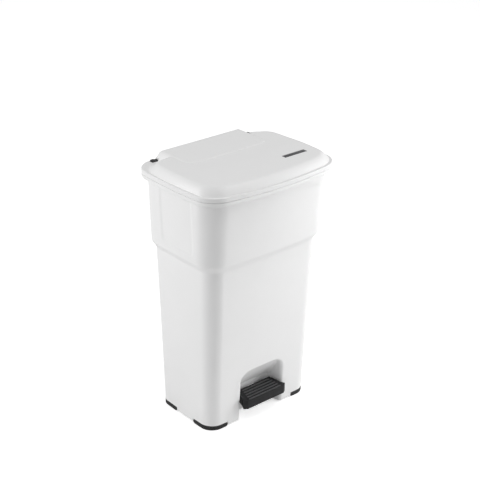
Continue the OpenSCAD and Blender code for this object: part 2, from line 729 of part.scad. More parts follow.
// Straight round piece between two [y, z] points
module rod_piece(p, q) {
    translate([0, p[0], p[1]]) rotate([-atan2(q[0] - p[0], q[1] - p[1]), 0, 0])
        cylinder(h = norm(q - p), r = rod_r);
}

foot_socket = 9;
foot_top_z = rod_pin_z + pin_r + 5 + foot_socket;
head_bottom_z = crank_pin_z - 14;
rod_line = [[rod_y, foot_top_z - foot_socket + 1.5], [rod_y, rod_bend_z0], [rod_upper_y, rod_bend_z1],
    [rod_upper_y, head_bottom_z + 6]];

module lift_rod() color(bare_steel) {
    for (i = [0:len(rod_line) - 2]) rod_piece(rod_line[i], rod_line[i + 1]);
    for (i = [1:len(rod_line) - 2]) translate([0, rod_line[i][0], rod_line[i][1]])
        sphere(r = rod_r + 0.15);
}

module rod_head() color(black_plastic) {
    slot_half = crank_r * (1 - cos(crank_drop)) / 2 + 0.5;
    slot_y = crank_pin_y - slot_half + 0.5;
    r = pin_r + pin_play;
    difference() {
        box(-head_half_w, head_half_w, slot_y - slot_half - r - 3, slot_y + slot_half + r + 3,
            head_bottom_z, crank_pin_z + r + 3);
        rod_x(-10, 10, slot_y - slot_half, crank_pin_z, r);
        rod_x(-10, 10, slot_y + slot_half, crank_pin_z, r);
        box(-10, 10, slot_y - slot_half, slot_y + slot_half, crank_pin_z - r, crank_pin_z + r);
        translate([0, rod_upper_y, head_bottom_z - 1]) cylinder(h = 7.1, r = rod_r + fix_gap);
    }
}

module rod_foot() color(black_plastic) {
    half = fork_half_w - 0.8;
    difference() {
        union() {
            rod_x(-half, half, rod_y, rod_pin_z, pin_r + 3.6);
            translate([0, rod_y, foot_top_z - foot_socket]) cylinder(h = foot_socket, r = rod_r + 2);
            box(-half, half, rod_y - pin_r - 3, rod_y + pin_r + 3, rod_pin_z, foot_top_z - foot_socket + 1);
        }
        rod_x(-10, 10, rod_y, rod_pin_z, pin_r + pin_play);
        translate([0, rod_y, foot_top_z - foot_socket + 1.5]) cylinder(h = 10, r = rod_r + fix_gap);
    }
}

bin_shell();
corner_pad_fl();
corner_pad_fr();
corner_pad_bl();
corner_pad_br();
pad_screws();
axle_bracket();
bracket_screws();
pedal_axle();
axle_clips();
rod_guide_lower();
rod_guide_upper();
channel_cover();
cover_screws();
hinge_block_left();
hinge_block_right();
hinge_screws();
hinge_pin_left();
hinge_pin_right();
hinge_cap_left();
hinge_cap_right();
liner_ring();
lid_shell();
badge_plate();
lid_crank();
crank_pin();
crank_screws();
pedal_lever();
pedal_tread();
tread_screws();
lever_bush();
rod_pin();
lift_rod();
rod_head();
rod_foot();
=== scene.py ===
"""Pedal bin with a hinged lid: smooth shells, finishes, hardware and a plain studio round the CAD frame."""

import logging
import math
from dataclasses import astuple, dataclass, replace
from enum import Enum
from typing import Sequence

import bmesh
import bpy
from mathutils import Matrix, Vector


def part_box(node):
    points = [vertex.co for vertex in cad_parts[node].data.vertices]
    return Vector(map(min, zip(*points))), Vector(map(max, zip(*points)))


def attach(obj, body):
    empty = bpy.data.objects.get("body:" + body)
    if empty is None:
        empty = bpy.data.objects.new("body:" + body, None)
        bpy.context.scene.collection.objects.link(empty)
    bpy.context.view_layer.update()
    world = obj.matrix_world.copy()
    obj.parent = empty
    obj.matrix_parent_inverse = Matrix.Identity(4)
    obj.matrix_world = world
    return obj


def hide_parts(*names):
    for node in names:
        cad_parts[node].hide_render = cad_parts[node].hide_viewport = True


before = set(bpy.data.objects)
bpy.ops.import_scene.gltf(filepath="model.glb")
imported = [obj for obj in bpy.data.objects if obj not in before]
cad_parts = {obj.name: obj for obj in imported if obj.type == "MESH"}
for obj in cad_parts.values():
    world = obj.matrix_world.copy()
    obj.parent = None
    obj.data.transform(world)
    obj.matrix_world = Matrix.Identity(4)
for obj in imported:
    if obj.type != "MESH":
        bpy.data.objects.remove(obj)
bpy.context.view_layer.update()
CORNERS = ("fl", "fr", "bl", "br")  # front or back, then left or right
WHITE = (1.0, 1.0, 1.0, 1.0)
FAR = 0.5  # beyond the bin on any side, for cutting tools
LEAST_CORNER = 0.004  # radius that an inset outline keeps
CORNER_SHRINK = 0.8  # loss of corner radius per metre of inset

Point = tuple[float, float, float]
Flat = tuple[float, float]

logging.basicConfig(level=logging.INFO, format="%(message)s")
log = logging.getLogger("pedal_bin")


# ---- numbers ----

def mix(a: float, b: float, t: float) -> float:
    """Return the value a share t of the way from a to b."""
    return a + (b - a) * t


def between(a: Flat, b: Flat, t: float) -> Flat:
    """Return the flat point a share t of the way from a to b."""
    return mix(a[0], b[0], t), mix(a[1], b[1], t)


def clamp(value: float) -> float:
    """Return value kept between 0 and 1."""
    return max(0.0, min(1.0, value))


def smooth(t: float) -> float:
    """Return an S-shaped ramp from 0 to 1 for t from 0 to 1."""
    t = clamp(t)
    return t * t * (3.0 - 2.0 * t)


def soft_min(a: float, b: float, radius: float) -> float:
    """Return the lesser of two heights, rounded where they cross.

    Args:
        a: First height.
        b: Second height.
        radius: Difference in height over which the crossing is rounded.

    Returns:
        The blended height.
    """
    h = clamp(0.5 + 0.5 * (b - a) / radius)
    return mix(b, a, h) - radius * h * (1.0 - h)


def soft_max(a: float, b: float, radius: float) -> float:
    """Return the greater of two heights, rounded where they cross, as soft_min does for the lesser."""
    return -soft_min(-a, -b, radius)


def inside_rounded(u: float, v: float, half_u: float, half_v: float, corner: float) -> float:
    """Return how far a point lies inside a rounded rectangle about the origin.

    Args:
        u: First coordinate.
        v: Second coordinate.
        half_u: Half the rectangle's size along the first coordinate.
        half_v: Half the rectangle's size along the second coordinate.
        corner: Radius of its corners.

    Returns:
        Distance to the outline, positive inside and negative outside.
    """
    du, dv = abs(u) - half_u + corner, abs(v) - half_v + corner
    outside = math.hypot(max(du, 0.0), max(dv, 0.0))
    return corner - outside - min(max(du, dv), 0.0)


# ---- finishes ----

class Finish(Enum):
    """The finishes that the bin's pieces have."""

    BODY = "bin_body_white"
    LID = "bin_lid_white"
    RING = "bin_ring_white"
    BLACK = "bin_black_plastic"
    TREAD = "bin_tread_black"
    # Same black plastic as TREAD, lighter as a painted highlight on the ribs' crests.
    RIB_PAINTED_HIGHLIGHT = "bin_tread_ribs_painted_highlight"
    BADGE = "bin_badge_dark"
    RUBBER = "bin_pad_rubber"
    STEEL = "bin_steel"
    BRIGHT = "bin_bright_steel"
    FLOOR = "studio_floor"


@dataclass(frozen=True)
class Recipe:
    """Colour, gloss and relief of one finish.

    Lengths are in metres, and scales are in cycles per metre.
    """

    colour: Point
    roughness: float
    mottle: float = 0.01
    mottle_scale: float = 14.0
    gloss_swing: float = 0.04
    grain_scale: float = 900.0
    grain_height: float = 0.00004
    stretch: Point = (1.0, 1.0, 1.0)
    metallic: float = 0.0
    coat: float = 0.0
    specular: float = 0.5
    glow: float = 0.0
    ramp_ends: Flat = (0.3, 0.7)
    polish_finer: float = 4.0
    grain_strength: float = 0.6

    def build(self, name: str) -> bpy.types.Material:
        """Make the material.

        Args:
            name: The material's name.

        Returns:
            The new material, whose nodes read Object coordinates.
        """
        material = bpy.data.materials.new(name)
        material.use_nodes = True
        nodes, links = material.node_tree.nodes, material.node_tree.links
        shader = nodes["Principled BSDF"]
        shader.inputs["Metallic"].default_value = self.metallic
        shader.inputs["Coat Weight"].default_value = self.coat
        shader.inputs["Specular IOR Level"].default_value = self.specular
        place = nodes.new("ShaderNodeTexCoord")
        stretch = nodes.new("ShaderNodeMapping")
        stretch.inputs["Scale"].default_value = self.stretch
        links.new(place.outputs["Object"], stretch.inputs["Vector"])
        tint = self._noise(nodes, links, stretch, self.mottle_scale, 3.0)
        ramp = nodes.new("ShaderNodeValToRGB")
        for stop, share in zip(ramp.color_ramp.elements, (1.0 - self.mottle, 1.0 + self.mottle)):
            stop.color = (*(clamp(c * share) for c in self.colour), 1.0)
        ramp.color_ramp.elements[0].position, ramp.color_ramp.elements[1].position = self.ramp_ends
        links.new(tint.outputs["Fac"], ramp.inputs["Fac"])
        links.new(ramp.outputs["Color"], shader.inputs["Base Color"])
        polish = self._noise(nodes, links, stretch, self.mottle_scale * self.polish_finer, 5.0)
        span = nodes.new("ShaderNodeMapRange")
        span.inputs["To Min"].default_value = clamp(self.roughness - self.gloss_swing)
        span.inputs["To Max"].default_value = clamp(self.roughness + self.gloss_swing)
        links.new(polish.outputs["Fac"], span.inputs["Value"])
        links.new(span.outputs["Result"], shader.inputs["Roughness"])
        grain = self._noise(nodes, links, stretch, self.grain_scale, 2.0)
        bump = nodes.new("ShaderNodeBump")
        bump.inputs["Strength"].default_value = self.grain_strength
        bump.inputs["Distance"].default_value = self.grain_height
        links.new(grain.outputs["Fac"], bump.inputs["Height"])
        links.new(bump.outputs["Normal"], shader.inputs["Normal"])
        if self.glow > 0.0:
            shader.inputs["Emission Color"].default_value = WHITE
            seen = nodes.new("ShaderNodeLightPath")
            level = nodes.new("ShaderNodeMath")
            level.operation = "MULTIPLY"
            level.inputs[1].default_value = self.glow
            links.new(seen.outputs["Is Camera Ray"], level.inputs[0])
            links.new(level.outputs["Value"], shader.inputs["Emission Strength"])
        return material

    @staticmethod
    def _noise(nodes: bpy.types.Nodes, links: bpy.types.NodeLinks, source: bpy.types.Node,
               scale: float, detail: float) -> bpy.types.Node:
        """Add a noise texture.

        Args:
            nodes: The material's nodes.
            links: The material's links.
            source: Node whose Vector output places the pattern.
            scale: Cycles per metre.
            detail: Octaves of finer noise.

        Returns:
            The noise node.
        """
        noise = nodes.new("ShaderNodeTexNoise")
        noise.inputs["Scale"].default_value = scale
        noise.inputs["Detail"].default_value = detail
        links.new(source.outputs["Vector"], noise.inputs["Vector"])
        return noise


RECIPES: dict[Finish, Recipe] = {
    Finish.BODY: Recipe(colour=(0.80, 0.80, 0.80), roughness=0.42, mottle=0.006, coat=0.05),
    Finish.LID: Recipe(colour=(0.79, 0.79, 0.79), roughness=0.40, mottle=0.006, coat=0.05),
    Finish.RING: Recipe(colour=(0.76, 0.76, 0.76), roughness=0.46, mottle=0.010),
    Finish.BLACK: Recipe(colour=(0.022, 0.022, 0.023), roughness=0.45, mottle=0.12, grain_height=0.00008),
    Finish.TREAD: Recipe(colour=(0.013, 0.013, 0.014), roughness=0.55, mottle=0.18, mottle_scale=60.0,
                         gloss_swing=0.10, specular=0.25, grain_height=0.00012),
    # Grip ribs: the tread's own black plastic in a lighter colour, a painted highlight on their crests.
    Finish.RIB_PAINTED_HIGHLIGHT: Recipe(colour=(0.040, 0.040, 0.042), roughness=0.42, mottle=0.18, mottle_scale=60.0,
                       gloss_swing=0.10, grain_height=0.00012),
    Finish.BADGE: Recipe(colour=(0.060, 0.060, 0.063), roughness=0.30, mottle=0.06, mottle_scale=80.0),
    Finish.RUBBER: Recipe(colour=(0.014, 0.014, 0.014), roughness=0.75, mottle=0.20, mottle_scale=50.0,
                          gloss_swing=0.08, grain_scale=600.0, grain_height=0.0002),
    Finish.STEEL: Recipe(colour=(0.52, 0.53, 0.55), roughness=0.36, mottle=0.05, mottle_scale=30.0,
                         gloss_swing=0.10, grain_scale=500.0, stretch=(1.0, 1.0, 0.06), metallic=1.0),
    Finish.BRIGHT: Recipe(colour=(0.62, 0.63, 0.65), roughness=0.26, mottle=0.04, mottle_scale=120.0,
                          gloss_swing=0.08, grain_scale=1500.0, metallic=1.0),
    Finish.FLOOR: Recipe(colour=(0.93, 0.93, 0.93), roughness=0.6, mottle=0.004, mottle_scale=2.0, glow=0.55),
}


class Paintbox:
    """Makes each finish once and hands it out."""

    def __init__(self) -> None:
        """Start with no material made."""
        self._made: dict[Finish, bpy.types.Material] = {}

    def material(self, finish: Finish) -> bpy.types.Material:
        """Return the material of a finish, made when first asked for."""
        if finish not in self._made:
            self._made[finish] = RECIPES[finish].build(finish.value)
        return self._made[finish]

    def dress(self, piece: bpy.types.Object, finish: Finish) -> None:
        """Give every material slot of a piece one finish.

        Args:
            piece: A new piece or a CAD node.
            finish: The finish it gets.
        """
        if not piece.material_slots:
            piece.data.materials.append(self.material(finish))
        for slot in piece.material_slots:
            slot.material = self.material(finish)


# ---- meshes ----

def make_object(name: str, points: Sequence[Sequence[float]],
                faces: Sequence[Sequence[int]]) -> bpy.types.Object:
    """Make a mesh object in the scene.

    Args:
        name: Name of the object.
        points: Corners in metres.
        faces: Corner numbers of each face.

    Returns:
        The new object, at the origin.
    """
    mesh = bpy.data.meshes.new(name)
    mesh.from_pydata([tuple(p) for p in points], [], [tuple(f) for f in faces])
    mesh.validate()
    piece = bpy.data.objects.new(name, mesh)
    bpy.context.scene.collection.objects.link(piece)
    return piece


def discard(piece: bpy.types.Object) -> None:
    """Remove a helper object and its mesh."""
    mesh = piece.data
    bpy.data.objects.remove(piece)
    bpy.data.meshes.remove(mesh)


def settle(piece: bpy.types.Object) -> bpy.types.Object:
    """Turn a piece with modifiers into a plain mesh.

    Args:
        piece: The piece, whose modifiers are used up.

    Returns:
        The same piece.
    """
    bpy.context.view_layer.update()
    evaluated = piece.evaluated_get(bpy.context.evaluated_depsgraph_get())
    mesh = bpy.data.meshes.new_from_object(evaluated)
    piece.modifiers.clear()
    old = piece.data
    piece.data = mesh
    bpy.data.meshes.remove(old)
    return piece


def carve(target: bpy.types.Object, tool: bpy.types.Object) -> None:
    """Cut one solid out of another and use it up.

    Args:
        target: The solid that is changed.
        tool: The solid that is taken away from it.
    """
    change = target.modifiers.new("carve", "BOOLEAN")
    change.operation = "DIFFERENCE"
    change.solver = "MANIFOLD"
    change.object = tool
    settle(target)
    discard(tool)


def shade(piece: bpy.types.Object, crease_degrees: float = 32.0) -> None:
    """Shade a piece smooth, with sharp edges where it turns by more than a crease angle."""
    piece.data.shade_smooth()
    piece.data.set_sharp_from_angle(angle=math.radians(crease_degrees))


def merged_copy(node: str) -> bpy.types.Object:
    """Return a copy of a CAD node's mesh with its corners merged, as a new object."""
    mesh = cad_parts[node].data.copy()
    mesh.materials.clear()
    work = bmesh.new()
    work.from_mesh(mesh)
    bmesh.ops.remove_doubles(work, verts=work.verts, dist=1e-6)
    work.to_mesh(mesh)
    work.free()
    if "custom_normal" in mesh.attributes:
        mesh.attributes.remove(mesh.attributes["custom_normal"])
    piece = bpy.data.objects.new(node + "_copy", mesh)
    bpy.context.scene.collection.objects.link(piece)
    return piece


def prism(name: str, outline: Sequence[Flat], x0: float, x1: float) -> bpy.types.Object:
    """Make a prism along X.

    Args:
        name: Name of the object.
        outline: (y, z) corners, counter-clockwise seen from +X.
        x0: Start of the prism.
        x1: End of the prism.

    Returns:
        The new closed solid.
    """
    count = len(outline)
    points = [(x, y, z) for x in (x0, x1) for y, z in outline]
    sides = [(i, (i + 1) % count, count + (i + 1) % count, count + i) for i in range(count)]
    caps = [tuple(range(count - 1, -1, -1)), tuple(range(count, 2 * count))]
    return make_object(name, points, [*sides, *caps])


def block(name: str, low: Point, high: Point) -> bpy.types.Object:
    """Return a box between two corners, as a cutting tool."""
    outline = [(low[1], low[2]), (high[1], low[2]), (high[1], high[2]), (low[1], high[2])]
    return prism(name, outline, low[0], high[0])


def loft(name: str, rings: Sequence[Sequence[Point]], closed: bool = False) -> bpy.types.Object:
    """Make a solid through rings of points.

    Args:
        name: Name of the object.
        rings: Rings with equal counts, counter-clockwise seen from the side that the stack grows to.
        closed: Whether the last ring joins the first, as in a tube bent to a hoop, instead of end caps.

    Returns:
        The new closed solid.
    """
    count, levels = len(rings[0]), len(rings)
    faces: list[Sequence[int]] = []
    for k in range(levels if closed else levels - 1):
        low, high = k * count, (k + 1) % levels * count
        for i in range(count):
            j = (i + 1) % count
            faces.append((low + i, low + j, high + j, high + i))
    if not closed:
        faces.append(tuple(range(count - 1, -1, -1)))
        faces.append(tuple((levels - 1) * count + i for i in range(count)))
    return make_object(name, [p for ring in rings for p in ring], faces)


def hinge_line() -> float:
    """Return where the hinge's axis lies along Y, read from a CAD pin."""
    low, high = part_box("hinge_pin_left")
    return (low.y + high.y) / 2.0


def finish_piece(piece: bpy.types.Object, body: str, finish: Finish, paint: Paintbox,
                 nodes: Sequence[str] = ()) -> None:
    """Dress a piece, hang it on its body and hide the CAD nodes that it replaces.

    Args:
        piece: The finished mesh.
        body: Body that it rides on.
        finish: Its finish.
        paint: Where the materials come from.
        nodes: CAD nodes that it replaces.
    """
    paint.dress(piece, finish)
    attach(piece, body)
    if nodes:
        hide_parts(*nodes)
    log.info("%s rides on %s, %d faces", piece.name, body, len(piece.data.polygons))


# ---- sections ----

@dataclass(frozen=True)
class Section:
    """Rounded rectangle whose sides bow outwards, in metres."""

    half: float
    front: float
    back: float
    corner: float
    bow_front: float
    bow_back: float
    bow_side: float
    corner_back: float

    def inset(self, d: float) -> "Section":
        """Return the section a distance d further in."""
        return replace(self, half=self.half - d, front=self.front + d, back=self.back - d,
                       corner=max(LEAST_CORNER, self.corner - CORNER_SHRINK * d),
                       corner_back=max(LEAST_CORNER, self.corner_back - CORNER_SHRINK * d))

    def toward(self, other: "Section", t: float) -> "Section":
        """Return the section a share t of the way to another."""
        return Section(*(mix(a, b, t) for a, b in zip(astuple(self), astuple(other))))

    def warp(self, x: float, y: float) -> Flat:
        """Bow the sides of a point given about the section's own middle.

        Args:
            x: Distance across from the middle.
            y: Distance back from the middle.

        Returns:
            The bowed point in the shared frame.
        """
        depth = (self.back - self.front) / 2.0
        bow = self.bow_front if y < 0.0 else self.bow_back
        across = x * (1.0 - self.bow_side / self.half * (y / depth) ** 2)
        along = y * (1.0 - bow / depth * (x / self.half) ** 2)
        return across, along + (self.front + self.back) / 2.0


@dataclass(frozen=True)
class RingPlan:
    """Where a ring has its points: fixed places across the front, and counts elsewhere."""

    marks: tuple[float, ...] = ()
    front: int = 24
    corner: int = 16
    side: int = 60
    back: int = 30

    def _across(self, reach: float) -> list[float]:
        """Return the places across the front, between minus reach and reach."""
        start = self.marks[-1] if self.marks else 0.0
        rest = [mix(start, reach, i / self.front) for i in range(1, self.front)]
        right = [*self.marks, *rest]
        return [-x for x in reversed(right)] + [0.0] + right

    def ring(self, section: Section, z: float) -> list[Point]:
        """Lay out one ring.

        Args:
            section: The outline.
            z: Height of the ring.

        Returns:
            Points counter-clockwise seen from above, from the right side round the back.
        """
        a, b = section.half, (section.back - section.front) / 2.0
        near, far = section.corner, section.corner_back
        flat: list[Flat] = []
        flat += self._arc(a - far, b - far, far, 0.0)
        flat += [(mix(a - far, far - a, i / self.back), b) for i in range(1, self.back)]
        flat += self._arc(far - a, b - far, far, 90.0)
        flat += [(-a, mix(b - far, near - b, i / self.side)) for i in range(1, self.side)]
        flat += self._arc(near - a, near - b, near, 180.0)
        flat += [(x, -b) for x in self._across(a - near)]
        flat += self._arc(a - near, near - b, near, 270.0)
        flat += [(a, mix(near - b, b - far, i / self.side)) for i in range(1, self.side)]
        return [(*section.warp(x, y), z) for x, y in flat]

    def _arc(self, cx: float, cy: float, r: float, start: float) -> list[Flat]:
        """Return a quarter circle's points from an angle in degrees."""
        turns = [math.radians(start + 90.0 * i / self.corner) for i in range(self.corner + 1)]
        return [(cx + r * math.cos(t), cy + r * math.sin(t)) for t in turns]


def spread(start: float, end: float, step: float) -> list[float]:
    """Return even places from start up to but without end, about a step apart."""
    count = max(1, round((end - start) / step))
    return [mix(start, end, i / count) for i in range(count)]


def spread_over(spans: Sequence[Point]) -> list[float]:
    """Return even places over spans that follow on, each given as its start, end and rough step."""
    return [place for span in spans for place in spread(*span)]


# ---- bin body ----

@dataclass
class BinBody:
    """The one-piece bin: tapered body, soft shoulder, side panels, pedal recess and rim."""

    rim: Section
    base: Section = Section(0.192, -0.096, 0.140, 0.041, 0.002, 0.0, 0.002, 0.029)
    waist: Section = Section(0.203, -0.128, 0.144, 0.046, 0.009, 0.001, 0.003, 0.023)
    band: Section = Section(0.221, -0.146, 0.158, 0.058, 0.014, 0.002, 0.004, 0.044)
    neck: Section = Section(0.226, -0.163, 0.160, 0.062, 0.020, 0.002, 0.005, 0.047)
    shoulder_z: float = 0.523
    shoulder_h: float = 0.032
    rim_z: float = 0.743
    rim_top: float = 0.754
    wall: float = 0.0035
    recess_half: float = 0.076
    recess_top: float = 0.163
    recess_corner: float = 0.032
    recess_lip: float = 0.012
    recess_draft: float = 4.5
    recess_back: float = -0.0545
    recess_margin: float = 0.02
    recess_soft: float = 0.014
    room_half: float = 0.0795
    ceiling_y: float = -0.057
    ceiling_z: float = 0.1005
    ceiling_arch: float = 0.009
    ceiling_slope: float = 0.66
    ceiling_soft: float = 0.002
    panel_y: Flat = (-0.072, 0.075)
    panel_z: Flat = (0.566, 0.80)
    panel_depth: float = 0.0018
    panel_edge: float = 0.009
    panel_corner: float = 0.022
    side_band: float = 0.012
    base_z: float = 0.005
    under_rim: float = 0.7425
    over_rim: float = 0.756
    hinge_gap: float = 0.004
    ring_spans: tuple[Point, ...] = ((0.008, 0.086, 0.009), (0.086, 0.182, 0.002), (0.182, 0.505, 0.02),
                                     (0.505, 0.600, 0.003), (0.600, 0.743, 0.012))
    mark_spans: tuple[Point, ...] = ((0.006, 0.060, 0.006), (0.060, 0.093, 0.00115))
    seat_room: float = 0.05
    seat_z: Flat = (-0.01, 0.016)
    step_half: float = 0.180
    step_gap: float = 0.0006
    notch_half: float = 0.014
    notch_y: float = 0.140
    notch_gap: float = 0.003
    lever_slot: tuple[Point, Point] = ((-0.015, -0.062, -0.02), (0.015, -0.045, 0.076))
    back_air: tuple[Point, Point] = ((-0.0225, 0.110, -0.01), (0.0225, 0.170, 0.5165))

    def section(self, z: float) -> Section:
        """Return the body's outline at a height: straight tapers joined by the shoulder."""
        low = self.base.toward(self.waist, min(z, self.shoulder_z) / self.shoulder_z)
        top = self.shoulder_z + self.shoulder_h
        high = self.band.toward(self.neck, (max(z, top) - top) / (self.rim_z - top))
        return low.toward(high, smooth((z - self.shoulder_z) / self.shoulder_h))

    def recess_depth(self, x: float, y: float, z: float) -> float:
        """Find how far the pedal recess pushes a point of the front back.

        Args:
            x: Place across.
            y: Place of the plain front there.
            z: Height.

        Returns:
            Depth in metres, 0 away from the recess.
        """
        tall = 1.0
        inside = inside_rounded(x, z - self.recess_top + tall, self.recess_half, tall, self.recess_corner)
        reach = inside + self.recess_lip
        if reach <= 0.0:
            return 0.0
        share = self.recess_draft / math.hypot(1.0, self.recess_draft)
        turn = self.recess_lip * share
        if reach < turn:
            wall = self.recess_lip - math.sqrt(self.recess_lip ** 2 - reach ** 2)
        else:
            wall = self.recess_lip * (1.0 - math.sqrt(1.0 - share ** 2)) + self.recess_draft * (reach - turn)
        crease = self.ceiling_z - self.ceiling_arch * (x / self.recess_half) ** 2
        ceiling = self.ceiling_y - self.ceiling_slope * (z - crease)
        floor = soft_min(self.recess_back, ceiling, self.ceiling_soft) - y
        return max(0.0, soft_min(wall, floor, self.recess_soft))

    def panel_dip(self, y: float, z: float) -> float:
        """Return how far the shallow panel in each side of the top band is pushed in at a point."""
        mid_y, mid_z = sum(self.panel_y) / 2.0, sum(self.panel_z) / 2.0
        half_y, half_z = (self.panel_y[1] - self.panel_y[0]) / 2.0, (self.panel_z[1] - self.panel_z[0]) / 2.0
        inside = inside_rounded(y - mid_y, z - mid_z, half_y, half_z, self.panel_corner)
        return self.panel_depth * smooth(inside / self.panel_edge)

    def _shaped(self, ring: list[Point], section: Section) -> list[Point]:
        """Push a ring's points in where the recess and the side panels are."""
        shaped = []
        low, wide = self.recess_top + self.recess_margin, self.recess_half + self.recess_margin
        for x, y, z in ring:
            if z < low and abs(x) < wide and y < 0.0:
                y += self.recess_depth(x, y, z)
            if abs(x) > section.half - self.side_band and z > self.panel_z[0]:
                x -= math.copysign(self.panel_dip(y, z), x)
            shaped.append((x, y, z))
        return shaped

    def _heights(self) -> list[float]:
        """Return the heights of the body's rings, closer where the shape turns."""
        return [self.base_z, *spread_over(self.ring_spans), self.rim_z - 0.002]

    def _rim_rings(self, plan: RingPlan) -> list[list[Point]]:
        """Return the rings from under the rim, round its downturned edge and onto its top."""
        under_z = self.rim_top - self.wall
        steps = [(under_z, 0.004), (self.rim_z + 0.0004, 0.004), (self.rim_z, 0.0034),
                 (self.rim_z, 0.0016), (self.rim_z + 0.0004, 0.0007), (self.rim_z + 0.0016, 0.0),
                 (self.rim_top - 0.0014, 0.0), (self.rim_top - 0.0004, 0.0004), (self.rim_top, 0.0013)]
        under = plan.ring(self.section(self.rim_z), under_z)
        return [under, *(plan.ring(self.rim.inset(d), z) for z, d in steps)]

    def build(self, paint: Paintbox) -> bpy.types.Object:
        """Make the bin from a smooth outside and the hollows of the CAD shell.

        Args:
            paint: Where the materials come from.

        Returns:
            The finished piece.
        """
        # Points close together where the sides of the recess turn in.
        plan = RingPlan(marks=tuple(spread_over(self.mark_spans)), front=9)
        rings = []
        for z in self._heights():
            section = self.section(z)
            rings.append(self._shaped(plan.ring(section, z), section))
        shell = loft("bin_body", [*rings, *self._rim_rings(plan)])
        carve(shell, self._core())
        self._cut_openings(shell)
        shade(shell)
        finish_piece(shell, "root", Finish.BODY, paint, ["bin_shell"])
        return shell

    def _core(self) -> bpy.types.Object:
        """Return the solid that leaves the inner surfaces of the CAD shell when it is taken away."""
        coarse = RingPlan(front=12, corner=12, side=8, back=8)
        heights = [-0.002, *spread(self.base_z, self.shoulder_z, 0.1), *spread(self.shoulder_z, 0.56, 0.006),
                   self.rim_z, self.rim_top + 0.004]
        core = loft("core", [coarse.ring(self.section(min(z, self.rim_z)).inset(self.wall / 2.0), z)
                             for z in heights])
        carve(core, merged_copy("bin_shell"))
        back = self.recess_back + self.wall
        room = [(-0.25, -0.01), (back, -0.01), (back, 0.096), (-0.060, 0.115),
                (-0.095, 0.170), (-0.25, 0.170)]
        carve(core, prism("recess_room", room, -self.room_half, self.room_half))
        return core

    def _cut_openings(self, shell: bpy.types.Object) -> None:
        """Cut the lever slot, the seats of the pads and cover, and the back of the rim.

        Args:
            shell: The bin, which is changed.
        """
        carve(shell, block("lever_slot", *self.lever_slot))
        grow, (seat_low, seat_high) = self.seat_room, self.seat_z
        for name in CORNERS:
            low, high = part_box("corner_pad_" + name)
            at_back, at_right = name[0] == "b", name[1] == "r"
            start = (low.x if at_right else low.x - grow, low.y if at_back else low.y - grow, seat_low)
            end = (high.x + grow if at_right else high.x, high.y + grow if at_back else high.y, seat_high)
            carve(shell, block("pad_seat", start, end))
        air = block("back_air", *self.back_air)
        carve(air, merged_copy("bin_shell"))
        carve(shell, air)
        rear, step = hinge_line() - self.hinge_gap, self.neck.back + self.step_gap
        carve(shell, block("rear_cut", (-FAR, rear, self.under_rim), (FAR, FAR, self.over_rim)))
        carve(shell, block("rear_step", (-self.step_half, step, self.under_rim),
                           (self.step_half, FAR, self.over_rim)))
        notch_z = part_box("rod_head")[0].z - self.notch_gap
        carve(shell, block("rod_notch", (-self.notch_half, self.notch_y, notch_z),
                           (self.notch_half, FAR, self.over_rim + 0.001)))


# ---- corner pads ----

